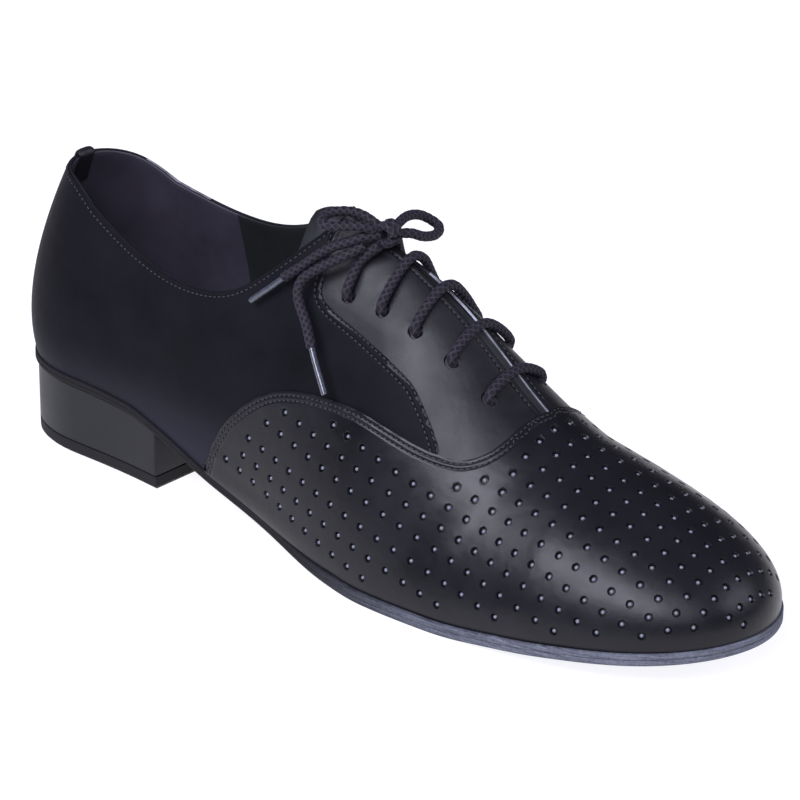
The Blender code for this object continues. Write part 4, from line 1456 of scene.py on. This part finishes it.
def tongue_row(u):
    """Points across the tongue's face, under the facings."""
    sides = []
    for side in SIDES:
        column = Column("mid", u, side)
        reaches = [column.crest + TONGUE_WIDTH / 2 * share for share in (1.0, 0.8, 0.6, 0.4, 0.2)]
        ups = [column.first(lambda q, r=reach: q[0] <= r) for reach in reaches]
        sides.append([column.point(up, -WALL - TONGUE_CLEAR) for up in ups])
    lateral, medial = sides
    crown = (lateral[-1] + medial[-1]) / 2
    shoulder = (lateral[-2] + medial[-2]) / 2
    crown.z += (crown.z - shoulder.z) * TONGUE_CROWN
    sunk = TONGUE_SINK * max(0.0, 1 - (u - TONGUE_TOP) * LAST_LENGTH / TONGUE_SUNK) ** 2
    curve = evenly(through(lateral + [crown] + medial[::-1]), CURVE_STEP) - (0, 0, sunk)
    return places_at(np.linspace(0, len(curve) - 1, 40), range(len(curve)), curve)


def tongue_lines():
    """The tongue's face, from its rounded top edge to its front."""
    us = np.linspace(TONGUE_TOP, TONGUE_FRONT, 90)
    rows = np.array([tongue_row(u) for u in us])
    half = walked(rows[0])[-1] / 2
    lines = []
    for m, across in enumerate(np.linspace(-1, 1, rows.shape[1])):
        over = max(0.0, abs(across) * half - half + TONGUE_ROUND)
        start = TONGUE_TOP + (TONGUE_ROUND - (TONGUE_ROUND**2 - over**2) ** 0.5) / LAST_LENGTH
        lines.append(places_at(start + (TONGUE_FRONT - start) * np.linspace(0, 1, 60) ** 1.3, us, rows[:, m]))
    return np.array(lines)


class SHOE_OT_tongue(Operator):
    """Makes the tongue under the facings, crowned, with a rounded top edge"""

    bl_idname = "shoe.tongue"
    bl_label = "Tongue"

    def execute(self, context):
        tongue, _, _ = sheet("tongue_leather", tongue_lines())
        # The tongue's cut edge has patches of the painted edge highlight.
        give(
            tongue, leather("tongue_calf", "tongue", "tongue_worn", 0.45, grain=0.8),
            leather("tongue_cut_edge", "cut_edge", "pale_edge", 0.6, cell=0.3, patch=6.0),
        )
        thicken(tongue, TONGUE_THICKNESS, rim=1)
        settle(tongue, "tongue_leather", "tongue", angle=45)
        return {"FINISHED"}


def ring_pairs(middle_pitch, back_count, toe_count, stop=None):
    """Outer and inner columns side by side, from the back to the toe, or to a share of the length."""
    us = spread(HEEL_CENTRE, TOE_CENTRE, round((TOE_CENTRE - HEEL_CENTRE) * LAST_LENGTH / middle_pitch))
    if stop:
        us = [u for u in us if u < stop] + [stop]
    rings = []
    for side in SIDES:
        ring = back_columns(side, back_count) + [Column("mid", u, side) for u in us]
        rings.append(ring if stop else ring + toe_columns(side, toe_count))
    return list(zip(*rings))


def slab_line(pair, edge_rows, across=12):
    """Points round a slab's section: down the outer edge, under it, up the inner edge and back over."""
    outer, inner = ([Vector(p) for p in edge_rows(column)] for column in pair)
    bottom = [outer[0].lerp(inner[0], k / across) for k in range(1, across)]
    top = [inner[-1].lerp(outer[-1], k / across) for k in range(1, across)]
    return outer[::-1] + bottom + inner + top + [outer[-1]]


def make_slab(name, pairs, edge_rows, end_face=False):
    lines = np.array([[tuple(p) for p in slab_line(pair, edge_rows)] for pair in pairs])
    slab, _, _ = sheet(name, lines)
    merge(slab)
    if end_face:
        close(slab)
    face_out(slab)
    return slab


def sole_rows(column):
    reach, bottom = reach_at(column.u), underside_at(column.u)
    return [
        column.plan(reach - inset, bottom + share * sole_thickness_at(column.u)) for inset, share in SOLE_SIDE
    ]


def heel_reach(column, height):
    return reach_at(column.u) - HEEL_INSET - HEEL_TAPER * (1 - height / HEEL_HEIGHT)


def rounded_rows(column, low, high, insets, margins, count):
    """Rows up the heel's side between two heights, with the first and the last drawn in."""
    heights = spread(low + margins[0], high - margins[1], count)
    rows = [column.plan(heel_reach(column, height), height) for height in heights]
    first, last = (column.plan(heel_reach(column, z) - inset, z) for z, inset in zip((low, high), insets))
    return [first] + rows + [last]


def heel_rows(column):
    bottom, top = TOP_PIECE + SEAT, underside_at(column.u) - SEAT
    return rounded_rows(column, bottom, top, (0.3 * MM, 0.3 * MM), (0.25 * MM, 0.25 * MM), 8)


def top_piece_rows(column):
    return rounded_rows(column, 0.0, TOP_PIECE, (0.5 * MM, 0.2 * MM), (0.5 * MM, 0.2 * MM), 5)


def insole_rows(column):
    grown = -(WALL + INSOLE_CLEAR)
    return [column.plan(grown, column.feather), column.plan(grown, column.feather + INSOLE)]


class SHOE_OT_sole(Operator):
    """Makes the thin outsole with its layered raw edge, and the sock inside"""

    bl_idname = "shoe.sole"
    bl_label = "Sole and sock"

    def execute(self, context):
        outsole = make_slab("outsole_leather", ring_pairs(1.5 * MM, BACK_COLUMNS, TOE_COLUMNS), sole_rows)
        shares = np.array([vertex.co.x for vertex in outsole.data.vertices]) / LAST_LENGTH + HEEL_CENTRE
        set_attribute(outsole, "forepart", np.clip((shares - 0.48) / 0.30, 0, 1))
        settle(outsole, "sole_edge", "outsole", finish=sole_finish(), angle=35)
        sock = make_slab("sock", ring_pairs(3.0 * MM, 24, 24), insole_rows)
        finish = leather("sock_leather", "fore_lining", "heel_lining", 0.6, cell=0.8)
        settle(sock, "insole_leather", "insole", finish=finish, angle=35)
        return {"FINISHED"}


class SHOE_OT_heel(Operator):
    """Makes the covered heel block and its suede top piece"""

    bl_idname = "shoe.heel"
    bl_label = "Heel"

    def execute(self, context):
        pairs = ring_pairs(2.0 * MM, BACK_COLUMNS, 1, HEEL_BREAST)
        block = make_slab("heel_block", pairs, heel_rows, end_face=True)
        edge = block.modifiers.new("soft_edge", "BEVEL")
        edge.width, edge.segments, edge.limit_method, edge.angle_limit = 0.5 * MM, 3, "ANGLE", radians(60)
        apply_modifiers(block)
        settle(block, "heel_block", "heel", finish=block_finish(), angle=35)
        tread = make_slab("heel_top_piece", pairs, top_piece_rows, end_face=True)
        settle(tread, "top_piece", "top_piece", finish=top_piece_finish(), angle=35)
        return {"FINISHED"}


def braid(name, route, diameter, depth=BRAID_DEPTH):
    """A round braid through the route's points: two sets of strands that cross, each a low rib."""
    spine = evenly(through(route), BRAID_RING)
    way = np.gradient(spine, axis=0)
    way /= np.linalg.norm(way, axis=1, keepdims=True)
    side = np.cross(way[0], (0.0, 0.0, 1.0))
    if np.linalg.norm(side) < 0.1:
        side = np.cross(way[0], (0.0, 1.0, 0.0))
    turn = np.arange(BRAID_SIDES + 1) * 2 * pi / BRAID_SIDES
    lines, ribs = [np.repeat(spine[:1], len(turn), axis=0)], [np.zeros(len(turn))]
    for k, (centre, forward) in enumerate(zip(spine, way)):
        side = side - forward * (side @ forward)
        side /= np.linalg.norm(side)
        up = np.cross(forward, side)
        height = k * BRAID_RING * 2 * pi / BRAID_PICK
        rib = np.maximum(np.cos(BRAID_STRANDS * turn + height), np.cos(BRAID_STRANDS * turn - height))
        radius = diameter / 2 * (1 - depth * (1 - rib) / 2)
        lines.append(centre + radius[:, None] * (np.outer(np.cos(turn), side) + np.outer(np.sin(turn), up)))
        ribs.append(rib)
    lines.append(np.repeat(spine[-1:], len(turn), axis=0))
    ribs.append(np.zeros(len(turn)))
    cord, i, j = sheet(name, np.array(lines))
    set_attribute(cord, "rib", np.array(ribs)[i, j])
    merge(cord)
    face_out(cord)
    cord.data.shade_smooth()
    return cord, spine


def strand_half(side, index):
    """Half of a crossing, from inside its eyelet up the leather and over the facing's edge."""
    column, up = list(eyelets(side))[index]
    lie = LACE / 2 + 0.15 * MM
    rise = [column.point(up + share * (column.top - up), lie) for share in (0.25, 0.4, 0.6, 0.8, 1.0)]
    return [column.point(up, -WALL), column.point(up, 0.25 * LACE)] + rise


class SHOE_OT_lacing(Operator):
    """Laces the straight bars through the eyelets, and the two strands that rise to the knot"""

    bl_idname = "shoe.lacing"
    bl_label = "Lacing"

    def execute(self, context):
        finish = lace_finish()
        for index in range(1, EYELET_PAIRS):
            lateral, medial = (strand_half(side, index) for side in SIDES)
            bar, _ = braid(f"lace_over_{index + 1}", lateral + medial[::-1], LACE)
            settle(bar, "lace", f"lace_bar_{index + 1}", finish=finish)
        for name, side, taken, low in (("lateral", LATERAL, 4, 0.8), ("medial", MEDIAL, 5, 0.5)):
            foot = KNOT_CENTRE + Vector((0, side * (KNOT_RADII.y - 0.2 * LACE), -low * KNOT_RADII.z))
            rise, _ = braid(f"lace_up_{name}", strand_half(side, 0)[:taken] + [foot], LACE)
            settle(rise, "lace", f"lace_rise_{name}", finish=finish)
        return {"FINISHED"}


class SHOE_OT_bow(Operator):
    """Ties the bow: the wrapped knot, two loops, and two ends with their aglets"""

    bl_idname = "shoe.bow"
    bl_label = "Bow"

    def execute(self, context):
        finish, film = lace_finish(), aglet_finish()
        turns = []
        for k, (lean, shift) in enumerate(((0.25, -1.5), (-0.2, 1.6))):
            ring = [
                KNOT_CENTRE + Vector((cos(turn) * 2.7, shift + lean * 2 * cos(turn), sin(turn) * 2.9)) * MM
                for turn in spread(0.0, 2 * pi * 0.97, 24)
            ]
            wrap, _ = braid(f"lace_wrap_{k + 1}", ring, LACE * 0.92)
            settle(wrap, "lace", *(("lace_knot",) if k == 0 else ()), finish=finish)
            turns.append(wrap)
        for name, route, node_name, pieces in (
            ("lace_loop_outer", LOOP_LATERAL, "lace_loop_lateral", turns),
            ("lace_loop_inner", LOOP_MEDIAL, "lace_loop_medial", ()),
        ):
            path = in_mm(route)
            path = [path[0].lerp(KNOT_CENTRE, 0.5)] + path + [path[-1].lerp(KNOT_CENTRE, 0.5)]
            loop, spine = braid(name, path, LACE)
            settle(loop, "lace", node_name, finish=finish)
            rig.cord(
                loop, exit=tuple(KNOT_CENTRE), length=float(walked(spine)[-1]), diameter=LACE,
                far_end="object", stiffness="limp", lay="loose", path=spine[::3], with_pieces=pieces,
            )
        for name, route, tip_route, end in (
            ("upper", END_UPPER, AGLET_UPPER, "lace_end_upper"),
            ("lower", END_LOWER, AGLET_LOWER, "lace_end_lower"),
        ):
            tip, _ = braid(f"aglet_{name}_film", in_mm(tip_route), AGLET, 0.02)
            settle(tip, "aglet", f"aglet_{name}", finish=film)
            path = in_mm(route + tip_route[:1])
            hidden = path[0].lerp(KNOT_CENTRE, 0.45)
            tail, spine = braid(f"lace_tail_{name}", [hidden] + path, LACE)
            settle(tail, "lace", end, finish=finish)
            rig.cord(
                tail, exit=tuple(KNOT_CENTRE), length=float(walked(spine)[-1]), diameter=LACE,
                far_end="fitting", stiffness="limp", lay="hanging", path=spine[::3], with_pieces=[tip],
            )
        return {"FINISHED"}


def outwards(azimuth, elevation):
    """The direction from the shoe to a place round it, in degrees."""
    turn, rise = radians(azimuth), radians(elevation)
    return Vector((sin(turn) * cos(rise), -cos(turn) * cos(rise), sin(rise)))


def softbox(name, azimuth, elevation, distance, wide, high, power):
    """A soft light like a window that looks at the shoe."""
    away = outwards(azimuth, elevation)
    bpy.ops.object.light_add(type="AREA", location=CAMERA_TARGET + away * distance)
    lamp = bpy.context.object
    lamp.name = name
    lamp.data.shape = "RECTANGLE"
    lamp.data.energy, lamp.data.size, lamp.data.size_y = power, wide, high
    lamp.data.color = linear("#eeeeff")[:3]
    lamp.rotation_euler = away.to_track_quat("Z", "Y").to_euler()


class SHOE_OT_stage(Operator):
    """Sets the pale floor, the soft lights and the camera at the photo's angle"""

    bl_idname = "shoe.stage"
    bl_label = "Stage"

    def execute(self, context):
        bpy.ops.object.select_all(action="DESELECT")
        bpy.ops.mesh.primitive_grid_add(x_subdivisions=20, y_subdivisions=20, size=9.0)
        floor = context.object
        floor.name = "floor"
        pale, tree, place = new_material("pale_floor")
        # The floor glows brighter near the shoe and its colour is paler there: a painted pool of light.
        reach = node(tree, "VectorMath", {"operation": "DISTANCE"}, i0=place, i1=tuple(CAMERA_TARGET))
        glow = node(
            tree, "MapRange", SMOOTH, Value=reach.outputs["Value"],
            From_Min=0.6, From_Max=2.2, To_Min=0.90, To_Max=0.5,
        )
        floor_painted_light_pool = node(tree, "Mix", RGBA, i0=glow, i6=linear("#707072"), i7=linear("#8c8c8e"))
        finish_with(
            tree, Base_Color=floor_painted_light_pool, Roughness=0.9, Emission_Color=linear("#fbfbff"), Emission_Strength=glow,
        )
        give(floor, pale)
        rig.stage(floor)

        world = bpy.data.worlds.new("soft_studio")
        context.scene.world = world
        world.use_nodes = True
        world.node_tree.nodes.clear()
        sky = world.node_tree
        way = node(sky, "TexCoord").outputs["Generated"]
        height = node(sky, "SeparateXYZ", Vector=way).outputs[2]
        lit = node(
            sky, "MapRange", SMOOTH, Value=height, From_Min=0.5, From_Max=1.0, To_Min=0.10, To_Max=0.3,
        )
        node(sky, "OutputWorld", Surface=node(sky, "Background", Color=linear("#ebeaff"), Strength=lit))
        softbox("window", 0, 44, 1.6, 1.7, 0.55, 38.0)
        softbox("camera_fill", 50, 36, 1.7, 0.9, 0.7, 8.0)
        softbox("toe_side", 118, 32, 1.7, 1.2, 0.6, 9.0)

        back = outwards(CAMERA_AZIMUTH, CAMERA_ELEVATION)
        turn, roll = radians(CAMERA_AZIMUTH), radians(CAMERA_ROLL)
        level_right = Vector((cos(turn), sin(turn), 0))
        level_up = back.cross(level_right)
        right = level_right * cos(roll) + level_up * sin(roll)
        up = level_up * cos(roll) - level_right * sin(roll)
        bpy.ops.object.camera_add(location=CAMERA_TARGET + back * CAMERA_DISTANCE)
        camera = context.object
        camera.rotation_euler = Matrix((right, up, back)).transposed().to_euler()
        camera.data.lens = CAMERA_LENS
        camera.data.sensor_width = 36.0
        camera.data.shift_x, camera.data.shift_y = CAMERA_SHIFT
        camera.data.clip_end = 20.0
        context.scene.camera = camera
        context.scene.view_settings.view_transform = "Standard"
        return {"FINISHED"}


class SHOE_PT_panel(Panel):
    """Lists the shoe's steps"""

    bl_label = "Ballroom dance shoe"
    bl_space_type = "VIEW_3D"
    bl_region_type = "UI"
    bl_category = "Shoe"

    def draw(self, context):
        for group in (context.scene.shoe_sizes, context.scene.shoe_colours):
            for name in group.__annotations__:
                self.layout.prop(group, name)
        for step in STEPS:
            self.layout.operator(step.bl_idname)


STEPS = (
    SHOE_OT_stage, SHOE_OT_bow, SHOE_OT_lacing, SHOE_OT_vamp, SHOE_OT_quarters, SHOE_OT_back_stay,
    SHOE_OT_stitching, SHOE_OT_tongue, SHOE_OT_sole, SHOE_OT_heel,
)
CLASSES = (ShoeSizes, ShoeColours) + STEPS + (SHOE_PT_panel,)


def register():
    for item in CLASSES:
        bpy.utils.register_class(item)
    bpy.types.Scene.shoe_sizes = PointerProperty(type=ShoeSizes)
    bpy.types.Scene.shoe_colours = PointerProperty(type=ShoeColours)


def unregister():
    del bpy.types.Scene.shoe_colours
    del bpy.types.Scene.shoe_sizes
    for item in reversed(CLASSES):
        bpy.utils.unregister_class(item)


def main():
    register()
    for step in STEPS:
        group, name = step.bl_idname.split(".")
        getattr(getattr(bpy.ops, group), name)()
    with open("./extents.json", "w") as size_file:
        json.dump({"cad": CAD_BOX, "visual": [list(corner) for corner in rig.bounds()]}, size_file)


if __name__ == "__main__":
    main()
